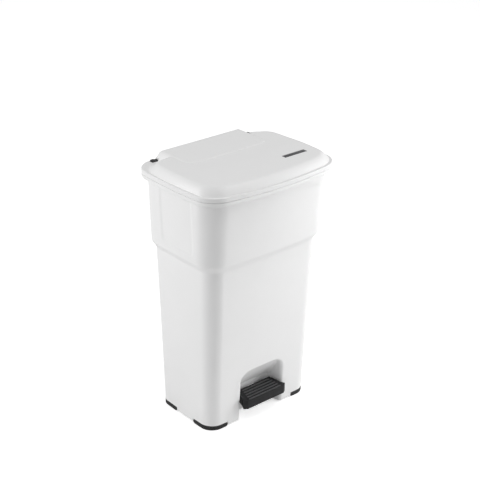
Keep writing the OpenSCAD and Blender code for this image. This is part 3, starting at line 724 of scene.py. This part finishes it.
@dataclass
class CornerPads:
    """Black pads under the four corners, with rounded ends."""

    body: BinBody
    proud: float = 0.0008
    width: float = 0.0140
    end: float = 0.0079
    thin: float = 0.0004
    squareness: float = 0.35
    profile: int = 20

    def build(self, paint: Paintbox) -> None:
        """Make the four pads."""
        for name in CORNERS:
            low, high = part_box("corner_pad_" + name)
            pad = self._sweep("pad_" + name, self._path(low, high), high.z)
            shade(pad, 50.0)
            finish_piece(pad, "root", Finish.RUBBER, paint, ["corner_pad_" + name])

    def _path(self, low: Vector, high: Vector) -> list[tuple[Flat, Flat]]:
        """Trace the bin's foot round one corner.

        Args:
            low: Lowest corner of the CAD pad.
            high: Highest corner of the CAD pad.

        Returns:
            Outer and inner points of the pad's plan, in order.
        """
        plan = RingPlan(front=60, corner=24, side=80, back=60)
        outer = plan.ring(self.body.base.inset(-self.proud), 0.0)
        inner = plan.ring(self.body.base.inset(self.width), 0.0)
        pairs = [((o[0], o[1]), (i[0], i[1])) for o, i in zip(outer, inner)]
        keep = [low.x <= o[0] <= high.x and low.y <= o[1] <= high.y for o, _ in pairs]
        first = next(i for i in range(len(keep)) if keep[i] and not keep[i - 1])
        turned = pairs[first:] + pairs[:first]
        count = sum(keep)
        return turned[:count]

    def _sweep(self, name: str, path: list[tuple[Flat, Flat]], height: float) -> bpy.types.Object:
        """Sweep a rounded bar along the path, drawn in to a half round at both ends.

        Args:
            name: Name of the piece.
            path: Outer and inner points of the plan.
            height: Height of the pad.

        Returns:
            The new pad.
        """
        run = [0.0]
        for (a, _), (b, _) in zip(path, path[1:]):
            run.append(run[-1] + math.dist(a, b))
        length = run[-1]
        rings = []
        for start in self._stations(length):
            outer, inner = self._at(path, run, start)
            from_end = min(start, length - start)
            inwards = clamp(1.0 - from_end / self.end)
            tall = height / 2.0 * math.sqrt(max(0.0, 1.0 - inwards ** 2))
            rings.append(self._cross(outer, inner, max(tall, self.thin), height / 2.0))
        return loft(name, rings)

    def _stations(self, length: float) -> list[float]:
        """Return places along a pad, closer together at its rounded ends."""
        ease = [self.end * (1.0 - math.cos(math.pi / 2.0 * i / 8)) for i in range(8)]
        middle = spread(self.end, length - self.end, 0.004)
        return [*ease, *middle, *(length - e for e in reversed([*ease, self.end]))]

    @staticmethod
    def _at(path: list[tuple[Flat, Flat]], run: list[float], place: float) -> tuple[Flat, Flat]:
        """Return the outer and inner plan points at a distance along the path."""
        for i in range(1, len(run)):
            if place <= run[i] + 1e-9:
                t = (place - run[i - 1]) / (run[i] - run[i - 1])
                (o0, i0), (o1, i1) = path[i - 1], path[i]
                return between(o0, o1, t), between(i0, i1, t)
        return path[-1]

    def _cross(self, outer: Flat, inner: Flat, tall: float, mid: float) -> list[Point]:
        """Return a rounded cross-section between the outer and inner points."""
        ring = []
        for i in range(self.profile):
            turn = 2.0 * math.pi * i / self.profile
            c, s = math.cos(turn), math.sin(turn)
            across = 0.5 + 0.5 * math.copysign(abs(c) ** self.squareness, c)
            up = math.copysign(abs(s) ** self.squareness, s)
            ring.append((*between(outer, inner, across), mid + tall * up))
        return ring


# ---- lid ----

@dataclass
class Lid:
    """The lid: skirt, flange, broad soft bevel, flat top, and the raised hinge housing at the back."""

    rim: Section
    plateau: Section
    top_z: float
    skirt_z: float = 0.7546
    flange_z: float = 0.7672
    ledge: float = 0.0075
    back_pull: float = 0.35
    hump_half: float = 0.138
    hump_side: float = 0.020
    hump_foot: float = 0.007
    hump_back: float = 0.1715
    hump_fall: float = 0.0105
    hump_front: float = 0.042
    hump_corner: float = 0.030
    hump_step: float = 0.0055
    hump_fade: float = 0.070
    sag: float = 0.0015
    thickness: float = 0.003
    foot_run: float = 0.003
    hump_soft: float = 0.0016
    skirt_round: tuple[Flat, ...] = ((0.0, 0.0010), (0.0003, 0.0004), (0.0010, 0.0))
    flange_round: tuple[Flat, ...] = ((0.0018, 0.0), (0.0009, 0.0002), (0.0003, 0.0008), (0.0, 0.0018))
    back_gap: float = 0.004
    cut_z: Flat = (0.740, 0.757)
    cap_front: float = 0.0109
    cap_side: float = 0.0101
    cap_gap: float = 0.0012
    badge_gap: float = 0.0002
    bevel_steps: int = 34
    rounds: int = 110

    def _bevel(self, t: float, d: float) -> Section:
        """Return the outline of the bevel at a share t of its rise, a distance d further in."""
        foot = self.rim.inset(self.ledge)
        section = foot.toward(self.plateau, t)
        back = mix(foot.back, self.plateau.back, t ** self.back_pull)
        return replace(section, back=back).inset(d)

    def _height(self, x: float, y: float, plain: float, d: float) -> float:
        """Find the lid's height at a point.

        Args:
            x: Place across.
            y: Place along.
            plain: Height of the bevel or the flat top there.
            d: How much further in the surface lies, for the inner core.

        Returns:
            Height of the surface, with the hinge housing.
        """
        lowered = plain - self.sag * self._dip(x, y)
        if y < self.hump_front + self.hump_fade:
            return lowered
        rise = self.top_z - self.flange_z
        beside = abs(x) - self.hump_half + d
        side = math.cos(math.pi / 2.0 * clamp(beside / self.hump_side))
        foot = self.hump_foot * smooth(1.0 - (beside - self.hump_side) / self.foot_run)
        back = math.sqrt(clamp(1.0 - clamp((y - self.hump_back + d) / self.hump_fall) ** 2))
        hump = self.flange_z - d + (foot + (rise - self.hump_foot) * side) * back
        return min(soft_max(lowered, hump, self.hump_soft), self.top_z - d)

    def _dip(self, x: float, y: float) -> float:
        """Find how far the top has sunk beside the hinge housing, 0 to 1.

        Args:
            x: Place across.
            y: Place along.

        Returns:
            0 on the housing and well in front of it, 1 beside its edge.
        """
        across = abs(x) - (self.hump_half - self.hump_corner)
        ahead = self.hump_front + self.hump_corner - y
        apart = math.hypot(max(across, 0.0), max(ahead, 0.0)) + min(max(across, ahead), 0.0)
        fade = 1.0 - smooth((self.hump_front - y) / self.hump_fade)
        return smooth((apart - self.hump_corner) / self.hump_step) * fade

    def _rings(self, plan: RingPlan, d: float) -> list[list[Point]]:
        """Return the rings from the top edge of the flange to the middle of the top."""
        rings = []
        rise = self.top_z - self.flange_z
        for k in range(self.bevel_steps + 1):
            t = k / self.bevel_steps
            section = self._bevel(t, d)
            plain = self.flange_z + rise * math.sin(math.pi / 2.0 * t) - d
            rings.append([(x, y, self._height(x, y, plain, d)) for x, y, _ in plan.ring(section, plain)])
        edge = self._bevel(1.0, d)
        middle = (edge.front + edge.back) / 2.0
        flat = plan.ring(edge, self.top_z - d)
        for k in range(1, self.rounds):
            f = 1.0 - k / self.rounds
            ring = []
            for x, y, z in flat:
                px, py = x * f, middle + (y - middle) * f
                ring.append((px, py, self._height(px, py, z, d)))
            rings.append(ring)
        return rings

    def _solid(self, name: str, plan: RingPlan, d: float, foot: list[Flat]) -> bpy.types.Object:
        """Make the lid's outside or its core as a closed solid.

        Args:
            name: Name of the object.
            plan: Layout of the rings.
            d: How much further in it lies.
            foot: (height, inset) of the rings of its skirt.

        Returns:
            The new solid.
        """
        skirt = [plan.ring(self.rim.inset(inset), z) for z, inset in foot]
        return loft(name, [*skirt, *self._rings(plan, d)])

    def build(self, paint: Paintbox) -> bpy.types.Object:
        """Make the lid from a smooth outside and the hollows of the CAD lid.

        Args:
            paint: Where the materials come from.

        Returns:
            The finished piece.
        """
        plan = RingPlan(front=26, corner=18, side=90, back=90)
        foot = [(self.skirt_z + up, inset) for up, inset in self.skirt_round]
        foot += [(self.flange_z - down, inset) for down, inset in self.flange_round]
        shell = self._solid("lid_shell_smooth", plan, 0.0, foot)
        inset = self.ledge - 0.003
        core_foot = [(self.skirt_z - 0.003, inset), (self.flange_z - 0.004, inset)]
        coarse = RingPlan(front=13, corner=10, side=20, back=45)
        core = self._solid("lid_core", coarse, self.thickness / 2.0, core_foot)
        carve(core, merged_copy("lid_shell"))
        carve(shell, core)
        self._cut_openings(shell)
        shade(shell)
        finish_piece(shell, "lid", Finish.LID, paint, ["lid_shell"])
        return shell

    def _cut_openings(self, shell: bpy.types.Object) -> None:
        """Cut the short back edge, the notches round the hinge caps and the badge's pocket."""
        hinge_y, (cut_low, cut_high) = hinge_line(), self.cut_z
        carve(shell, block("short_back", (-FAR, hinge_y - self.back_gap, cut_low), (FAR, FAR, cut_high)))
        cap_low, cap_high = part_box("hinge_cap_right")
        for side in (-1.0, 1.0):
            near = side * (cap_low.x - self.cap_side - self.cap_gap)
            far = side * (cap_high.x + self.cap_gap)
            carve(shell, block("cap_notch", (min(near, far), hinge_y - self.cap_front, cut_low),
                               (max(near, far), FAR, self.top_z + 0.003)))
        low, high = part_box("badge_plate")
        gap = self.badge_gap
        carve(shell, block("badge_pocket", (low.x - gap, low.y - gap, low.z),
                           (high.x + gap, high.y + gap, high.z + 0.01)))


@dataclass
class Badge:
    """Plain dark plate let into the lid near its right-hand corner."""

    bevel: float = 0.0004

    def build(self, paint: Paintbox) -> None:
        """Make the plate with softened edges."""
        low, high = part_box("badge_plate")
        plate = block("badge", tuple(low), tuple(high))
        soften = plate.modifiers.new("soften", "BEVEL")
        soften.width = self.bevel
        soften.segments = 3
        settle(plate)
        shade(plate, 40.0)
        finish_piece(plate, "lid", Finish.BADGE, paint, ["badge_plate"])


# ---- liner ring ----

@dataclass
class LinerRing:
    """Ring in the mouth that grips the bag: a collar with a flat flange that stops short of the hinge."""

    body: BinBody
    back_y: float = 0.137
    gap: float = 0.0012
    thickness: float = 0.0025
    collar: float = 0.027
    flange_rise: float = 0.0002
    flange_inset: float = 0.012
    hinge_room: float = 0.006
    plan: RingPlan = RingPlan(front=24, corner=18, side=24, back=24)

    def build(self, paint: Paintbox) -> None:
        """Make the ring as one hoop of a bent profile, and cut its flange back at the hinge."""
        body = self.body
        mouth = replace(body.neck.inset(body.wall + self.gap), back=self.back_y, corner=0.060,
                        corner_back=0.045, bow_back=0.001)
        top = body.rim_top + 0.0024
        flange_z = body.rim_top + self.flange_rise
        flange, edge = body.rim.inset(self.flange_inset), body.rim.inset(self.flange_inset + 0.0005)
        outside = [(mouth.inset(0.001), body.rim_top - self.collar), (mouth, flange_z), (flange, flange_z),
                   (edge, top)]
        inside = [(mouth.inset(self.thickness - 0.0008), top), (mouth.inset(self.thickness), top - 0.001),
                  (mouth.inset(self.thickness + 0.001), body.rim_top - self.collar)]
        ring = loft("bag_ring", [self.plan.ring(s, z) for s, z in [*outside, *inside]], closed=True)
        carve(ring, self._behind(mouth, top))
        shade(ring)
        finish_piece(ring, "root", Finish.RING, paint, ["liner_ring"])

    def _behind(self, mouth: Section, top: float) -> bpy.types.Object:
        """Return the space behind the collar, where the flange is cut away."""
        space = block("behind", (-FAR, self.back_y - self.hinge_room, 0.70), (FAR, FAR, top + 0.01))
        rim_top = self.body.rim_top
        steps = [(mouth.inset(0.001), rim_top - self.collar), (mouth, rim_top + self.flange_rise),
                 (mouth, top + 0.02)]
        carve(space, loft("collar", [self.plan.ring(s, z) for s, z in steps]))
        return space


# ---- geometry node trees ----

class NodeTree:
    """A geometry node tree under construction, with named inputs."""

    def __init__(self, name: str) -> None:
        """Start a tree with a geometry input and output."""
        self.tree = bpy.data.node_groups.new(name, "GeometryNodeTree")
        self.tree.interface.new_socket("Geometry", in_out="INPUT", socket_type="NodeSocketGeometry")
        self.tree.interface.new_socket("Geometry", in_out="OUTPUT", socket_type="NodeSocketGeometry")
        self.source = self.tree.nodes.new("NodeGroupInput")
        self.result = self.tree.nodes.new("NodeGroupOutput")
        self.keys: dict[str, str] = {}

    def value(self, name: str, kind: str = "NodeSocketFloat") -> bpy.types.NodeSocket:
        """Add a named input and return the socket that carries it."""
        item = self.tree.interface.new_socket(name, in_out="INPUT", socket_type=kind)
        self.keys[name] = item.identifier
        return self.source.outputs[name]

    def add(self, kind: str, **inputs: object) -> bpy.types.Node:
        """Add a node.

        Args:
            kind: Blender's name for the node type.
            inputs: Values or sockets for its inputs, by name with _ for a space, or property settings.

        Returns:
            The new node.
        """
        node = self.tree.nodes.new(kind)
        for key, value in inputs.items():
            name = key.replace("_", " ")
            if hasattr(node, key) and not isinstance(value, bpy.types.NodeSocket) and name not in node.inputs:
                setattr(node, key, value)
            elif isinstance(value, bpy.types.NodeSocket):
                self.tree.links.new(value, node.inputs[name])
            else:
                node.inputs[name].default_value = value
        return node

    def math(self, operation: str, a: object, b: object) -> bpy.types.NodeSocket:
        """Add a math node on two values or sockets and return its output."""
        node = self.tree.nodes.new("ShaderNodeMath")
        node.operation = operation
        for socket, value in zip(node.inputs, (a, b)):
            if isinstance(value, bpy.types.NodeSocket):
                self.tree.links.new(value, socket)
            else:
                socket.default_value = value
        return node.outputs[0]

    def vector(self, x: object, y: object, z: object) -> bpy.types.NodeSocket:
        """Add a node that combines three values or sockets and return its vector."""
        return self.add("ShaderNodeCombineXYZ", X=x, Y=y, Z=z).outputs[0]

    def up(self, length: bpy.types.NodeSocket, share: float) -> bpy.types.NodeSocket:
        """Add a vector up Z by a share of a length and return it."""
        return self.vector(0.0, 0.0, self.math("MULTIPLY", length, share))

    def moved(self, geometry: bpy.types.NodeSocket, **places: object) -> bpy.types.NodeSocket:
        """Add a transform of some geometry, by Translation, Rotation or Scale, and return the result."""
        return self.add("GeometryNodeTransform", Geometry=geometry, **places).outputs[0]

    def union(self, *parts: bpy.types.NodeSocket) -> bpy.types.NodeSocket:
        """Add a boolean that unites solids and return the result."""
        node = self.add("GeometryNodeMeshBoolean", operation="UNION", solver="EXACT")
        for part in parts:
            self.tree.links.new(part, node.inputs[1])
        return node.outputs[0]

    def close(self, geometry: bpy.types.NodeSocket, material: bpy.types.Material) -> None:
        """End the tree in Realize Instances and Set Material."""
        solid = self.add("GeometryNodeRealizeInstances", Geometry=geometry).outputs[0]
        dressed = self.add("GeometryNodeSetMaterial", Geometry=solid, Material=material).outputs[0]
        self.tree.links.new(dressed, self.result.inputs[0])

    def run(self, name: str, points: Sequence[Point], values: dict[str, object]) -> bpy.types.Object:
        """Evaluate the tree on a set of points and return a plain mesh object.

        Args:
            name: Name of the new piece.
            points: Points that the tree's geometry input holds.
            values: The named inputs' values.

        Returns:
            The new piece, with the modifier removed.
        """
        piece = make_object(name, points, [])
        modifier = piece.modifiers.new("nodes", "NODES")
        modifier.node_group = self.tree
        for key, value in values.items():
            modifier[self.keys[key]] = value
        return settle(piece)


@dataclass(frozen=True)
class ScrewGroup:
    """One CAD node of identical screws: which way they drive in, and their sizes in metres."""

    node: str
    body: str
    drive: Point
    shank_r: float
    head_r: float
    head_h: float

    def places(self) -> tuple[list[Point], float]:
        """Read the screws' places from the CAD node.

        Returns:
            The underside of each head on its axis, and the length of the shank.
        """
        copy = merged_copy(self.node)
        work = bmesh.new()
        work.from_mesh(copy.data)
        drive = Vector(self.drive)
        found, length = [], 0.0
        left = set(work.verts)
        while left:
            island, queue = set(), [left.pop()]
            while queue:
                corner = queue.pop()
                island.add(corner)
                for edge in corner.link_edges:
                    other = edge.other_vert(corner)
                    if other in left:
                        left.discard(other)
                        queue.append(other)
            along = [corner.co.dot(drive) for corner in island]
            low = Vector([min(c.co[i] for c in island) for i in range(3)])
            high = Vector([max(c.co[i] for c in island) for i in range(3)])
            middle = (low + high) / 2.0
            seat = min(along) + self.head_h
            found.append(tuple(middle + drive * (seat - middle.dot(drive))))
            length = max(length, max(along) - seat)
        work.free()
        discard(copy)
        return sorted(found), length


@dataclass
class Hardware:
    """Every screw of the bin, made by one geometry node tree, and the CAD pieces that keep their shape."""

    groups: tuple[ScrewGroup, ...] = (
        ScrewGroup("pad_screws", "root", (0.0, 0.0, 1.0), 0.002, 0.004, 0.0025),
        ScrewGroup("bracket_screws", "root", (0.0, 0.0, 1.0), 0.002, 0.004, 0.0025),
        ScrewGroup("cover_screws", "root", (0.0, -1.0, 0.0), 0.0015, 0.0028, 0.0016),
        ScrewGroup("hinge_screws", "root", (0.0, 1.0, 0.0), 0.002, 0.004, 0.0024),
        ScrewGroup("crank_screws", "lid", (0.0, 0.0, 1.0), 0.002, 0.0038, 0.0022),
        ScrewGroup("tread_screws", "pedal", (0.0, 0.0, 1.0), 0.002, 0.0038, 0.0022),
    )
    kept: tuple[tuple[Finish, tuple[str, ...]], ...] = (
        (Finish.STEEL, ("axle_bracket", "pedal_lever", "lift_rod")),
        (Finish.BRIGHT, ("pedal_axle", "axle_clips", "hinge_pin_left", "hinge_pin_right", "crank_pin",
                         "rod_pin")),
        (Finish.BLACK, ("rod_guide_lower", "rod_guide_upper", "hinge_block_left", "hinge_block_right",
                        "hinge_cap_left", "hinge_cap_right", "lid_crank", "lever_bush", "rod_head",
                        "rod_foot")),
        (Finish.BODY, ("channel_cover",)),
    )
    dome_top: float = 0.72
    dome_seat: float = -0.48
    shank_seat: float = 0.498
    cross_sides: Flat = (1.1, 0.28)

    def _tree(self, material: bpy.types.Material) -> NodeTree:
        """Build the tree of a pan-head screw with a cross recess, set on every input point."""
        tree = NodeTree("pan_head_screws")
        shank_r, shank_l = tree.value("Shank radius"), tree.value("Shank length")
        head_r, head_h = tree.value("Head radius"), tree.value("Head height")
        drive = tree.value("Drive", "NodeSocketVector")
        half = tree.math("MULTIPLY", head_h, 0.5)
        rim = tree.add("GeometryNodeMeshCylinder", Vertices=24, Radius=head_r, Depth=half).outputs[0]
        rim = tree.moved(rim, Translation=tree.up(head_h, -0.25))
        dome = tree.add("GeometryNodeMeshCone", Vertices=24, Radius_Bottom=head_r, Depth=half,
                        Radius_Top=tree.math("MULTIPLY", head_r, self.dome_top)).outputs[0]
        dome = tree.moved(dome, Rotation=(math.pi, 0.0, 0.0), Translation=tree.up(head_h, self.dome_seat))
        shank = tree.add("GeometryNodeMeshCylinder", Vertices=16, Radius=shank_r, Depth=shank_l).outputs[0]
        shank = tree.moved(shank, Translation=tree.up(shank_l, self.shank_seat))
        long_side, short_side = (tree.math("MULTIPLY", head_r, share) for share in self.cross_sides)
        bars = [tree.add("GeometryNodeMeshCube", Size=tree.vector(a, b, head_h)).outputs[0]
                for a, b in ((long_side, short_side), (short_side, long_side))]
        cross = tree.moved(tree.union(*bars), Translation=tree.up(head_h, -1.0))
        solid = tree.union(rim, dome, shank)
        cut = tree.add("GeometryNodeMeshBoolean", operation="DIFFERENCE", solver="EXACT")
        tree.tree.links.new(solid, cut.inputs[0])
        tree.tree.links.new(cross, cut.inputs[1])
        turn = tree.add("FunctionNodeAlignEulerToVector", axis="Z", Vector=drive)
        copies = tree.add("GeometryNodeInstanceOnPoints", Points=tree.source.outputs[0],
                          Instance=cut.outputs[0], Rotation=turn.outputs[0])
        tree.close(copies.outputs[0], material)
        return tree

    def build(self, paint: Paintbox) -> None:
        """Make the screws and dress the CAD pieces that stay."""
        tree = self._tree(paint.material(Finish.BRIGHT))
        for group in self.groups:
            points, length = group.places()
            piece = tree.run(group.node + "_cross_head", points, {
                "Shank radius": group.shank_r, "Shank length": length, "Head radius": group.head_r,
                "Head height": group.head_h, "Drive": group.drive})
            shade(piece, 40.0)
            finish_piece(piece, group.body, Finish.BRIGHT, paint, [group.node])
        for finish, names in self.kept:
            for name in names:
                paint.dress(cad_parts[name], finish)
                log.info("%s keeps its shape in %s", name, finish.value)


# ---- pedal ----

@dataclass
class Tread:
    """The moulded foot tread: rounded block with a hollow underside and grip ribs across its sloping top."""

    slope_rise: float = 0.008
    rib_count: int = 5
    rib_pitch: float = 0.0106
    rib_first: float = 0.0060
    rib_width: float = 0.0050
    rib_height: float = 0.0024
    sunk: float = 0.0021
    edge: float = 0.0013
    nose: Flat = (0.012, 0.008)
    waist: Flat = (0.007, 0.019)
    tail: float = 0.020
    core_in: float = 0.0016
    core_low: float = 0.004
    core_drop: float = 0.0036
    way_half: float = 0.011
    rib_short: float = 0.040
    rib_taper: float = 0.036

    def build(self, paint: Paintbox) -> None:
        """Make the block and its ribs."""
        low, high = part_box("pedal_tread")
        self._block(low, high, paint)
        self._ribs(low, high, paint)

    def _plan(self, low: Vector, high: Vector, d: float) -> list[Flat]:
        """Return the tread's outline from above, a distance d inside its edge.

        Args:
            low: Lowest corner of the CAD tread.
            high: Highest corner of the CAD tread.
            d: How far in.

        Returns:
            Corners counter-clockwise, starting at the left of the front.
        """
        w, y0, y1 = high.x - d, low.y + d, high.y - d
        right = [(w - self.nose[0], y0), (w, y0 + self.nose[1]),
                 (w - self.waist[0], y0 + self.waist[1]), (w - self.tail, y1)]
        left = [(-x, y) for x, y in reversed(right)]
        return [*right, *left]

    def _top(self, y: float, low: Vector, high: Vector) -> float:
        """Return the height of the sloping top at a place along the tread."""
        front = high.z - self.slope_rise
        return front + (y - low.y) / (high.y - low.y) * self.slope_rise

    def _solid(self, name: str, low: Vector, high: Vector, d: float,
               bottom: float, drop: float) -> bpy.types.Object:
        """Return a closed block with the tread's plan, its top a distance drop under the CAD top."""
        plan = self._plan(low, high, d)
        under = [(x, y, bottom) for x, y in plan]
        over = [(x, y, self._top(y, low, high) - drop) for x, y in plan]
        return loft(name, [under, over])

    def _block(self, low: Vector, high: Vector, paint: Paintbox) -> None:
        """Make the rounded block, with the hollow and screw bosses of the CAD tread."""
        tread = self._solid("tread", low, high, 0.0, low.z, self.sunk)
        soften = tread.modifiers.new("soften", "BEVEL")
        soften.width = self.edge
        soften.segments = 4
        settle(tread)
        core = self._solid("tread_core", low, high, self.core_in, low.z - self.core_low, self.core_drop)
        carve(core, merged_copy("pedal_tread"))
        carve(tread, core)
        carve(tread, block("lever_way", (-self.way_half, high.y - 0.006, low.z - 0.01),
                           (self.way_half, high.y + 0.01, low.z + 0.014)))
        shade(tread, 38.0)
        finish_piece(tread, "pedal", Finish.TREAD, paint, ["pedal_tread"])

    def _ribs(self, low: Vector, high: Vector, paint: Paintbox) -> None:
        """Make the grip ribs by a node tree: a rounded bar on each point of a sloping line."""
        tree = NodeTree("grip_ribs")
        length, width, height = (tree.value(n) for n in ("Length", "Width", "Height"))
        taper, tilt = tree.value("Taper"), tree.value("Tilt")
        count, pitch = tree.value("Count", "NodeSocketInt"), tree.value("Pitch", "NodeSocketVector")
        start = tree.value("Start", "NodeSocketVector")
        line = tree.add("GeometryNodeMeshLine", Count=count, Start_Location=start, Offset=pitch).outputs[0]
        half = tree.math("MULTIPLY", length, 0.5)
        start_x = tree.math("MULTIPLY", half, -1.0)
        path = tree.add("GeometryNodeCurvePrimitiveLine", Start=tree.vector(start_x, 0.0, 0.0),
                        End=tree.vector(half, 0.0, 0.0)).outputs[0]
        profile = tree.add("GeometryNodeCurvePrimitiveCircle", Resolution=16, Radius=1.0).outputs[0]
        profile = tree.moved(profile, Scale=tree.vector(tree.math("MULTIPLY", width, 0.5), height, 1.0))
        bar = tree.add("GeometryNodeCurveToMesh", Curve=path, Profile_Curve=profile, Fill_Caps=True)
        index = tree.add("GeometryNodeInputIndex").outputs[0]
        shrink = tree.math("SUBTRACT", 1.0, tree.math("MULTIPLY", index, taper))
        copies = tree.add("GeometryNodeInstanceOnPoints", Points=line, Instance=bar.outputs[0],
                          Rotation=tree.vector(tilt, 0.0, 0.0), Scale=tree.vector(shrink, 1.0, 1.0))
        # The ribs take the lighter rib colour, a painted highlight on their crests.
        tree.close(copies.outputs[0], paint.material(Finish.RIB_PAINTED_HIGHLIGHT))
        slope = self.slope_rise / (high.y - low.y)
        y0 = low.y + self.rib_first
        z0 = self._top(y0, low, high) - self.rib_height
        ribs = tree.run("tread_ribs", [(0.0, 0.0, 0.0)], {
            "Length": 2.0 * high.x - self.rib_short, "Width": self.rib_width, "Height": self.rib_height,
            "Taper": self.rib_taper, "Tilt": math.atan(slope), "Count": self.rib_count,
            "Pitch": (0.0, self.rib_pitch, self.rib_pitch * slope), "Start": (0.0, y0, z0)})
        shade(ribs, 40.0)
        finish_piece(ribs, "pedal", Finish.RIB_PAINTED_HIGHLIGHT, paint)


# ---- studio ----

@dataclass(frozen=True)
class Lamp:
    """A soft rectangular light: where it hangs, what it faces, its size in metres and its power in watts."""

    name: str
    place: Point
    aim: Point
    size: float
    watts: float

    def build(self) -> None:
        """Hang the light."""
        data = bpy.data.lights.new(self.name, "AREA")
        data.energy = self.watts
        data.size = self.size
        lamp = bpy.data.objects.new(self.name, data)
        lamp.location = self.place
        lamp.rotation_euler = (Vector(self.aim) - Vector(self.place)).to_track_quat("-Z", "Y").to_euler()
        bpy.context.scene.collection.objects.link(lamp)


@dataclass
class Studio:
    """Pale floor, soft lights and the camera."""

    azimuth: float = -39.93
    elevation: float = 27.03
    distance: float = 3.490
    target: Point = (0.0, 0.0, 0.395)
    lens: float = 89.8
    shift: Flat = (0.0014, 0.090)
    floor_size: float = 14.0
    sky: float = 0.44
    lamps: tuple[Lamp, ...] = (
        Lamp("left_softbox", (-2.4, 1.7, 1.8), (0.0, 0.0, 0.5), 1.6, 50.0),
        Lamp("right_softbox", (2.6, -1.5, 1.1), (0.0, 0.0, 0.4), 1.6, 58.0),
        Lamp("top_softbox", (0.4, -1.0, 3.0), (0.0, 0.0, 0.4), 1.6, 19.0),
    )

    def build(self, paint: Paintbox) -> None:
        """Set up the floor, the light and the camera."""
        self._floor(paint)
        self._sky()
        for lamp in self.lamps:
            lamp.build()
        self._camera()
        bpy.context.scene.view_settings.view_transform = "Standard"

    def _floor(self, paint: Paintbox) -> None:
        """Lay the floor."""
        half = self.floor_size / 2.0
        corners = [(-half, -half, 0.0), (half, -half, 0.0), (half, half, 0.0), (-half, half, 0.0)]
        floor = make_object("floor", corners, [(0, 1, 2, 3)])
        paint.dress(floor, Finish.FLOOR)

    def _sky(self) -> None:
        """Light everything evenly from the room."""
        world = bpy.data.worlds.new("studio")
        world.use_nodes = True
        room = world.node_tree.nodes["Background"]
        room.inputs["Color"].default_value = WHITE
        room.inputs["Strength"].default_value = self.sky
        bpy.context.scene.world = world

    def _camera(self) -> None:
        """Place the camera at its angle, aimed at the middle of the bin."""
        data = bpy.data.cameras.new("camera")
        data.lens = self.lens
        data.shift_x, data.shift_y = self.shift
        camera = bpy.data.objects.new("camera", data)
        turn, tilt = math.radians(self.azimuth), math.radians(self.elevation)
        away = Vector((math.cos(tilt) * math.sin(turn), -math.cos(tilt) * math.cos(turn), math.sin(tilt)))
        camera.location = Vector(self.target) + away * self.distance
        camera.rotation_euler = (-away).to_track_quat("-Z", "Y").to_euler()
        bpy.context.scene.collection.objects.link(camera)
        bpy.context.scene.camera = camera


# ---- assembly ----

def main() -> None:
    """Build every sub-assembly in order, then the studio."""
    paint = Paintbox()
    lid_low, lid_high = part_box("lid_shell")
    rim = Section(half=lid_high.x, front=lid_low.y, back=lid_high.y, corner=0.058, bow_front=0.025,
                  bow_back=0.004, bow_side=0.009, corner_back=0.058)
    plateau = Section(half=rim.half - 0.034, front=rim.front + 0.032, back=rim.back - 0.062, corner=0.045,
                      bow_front=0.020, bow_back=0.002, bow_side=0.007, corner_back=0.036)
    body = BinBody(rim=rim)
    body.build(paint)
    CornerPads(body=body).build(paint)
    LinerRing(body=body).build(paint)
    Lid(rim=rim, plateau=plateau, top_z=lid_high.z).build(paint)
    Badge().build(paint)
    Tread().build(paint)
    Hardware().build(paint)
    Studio().build(paint)


if __name__ == "__main__":
    main()
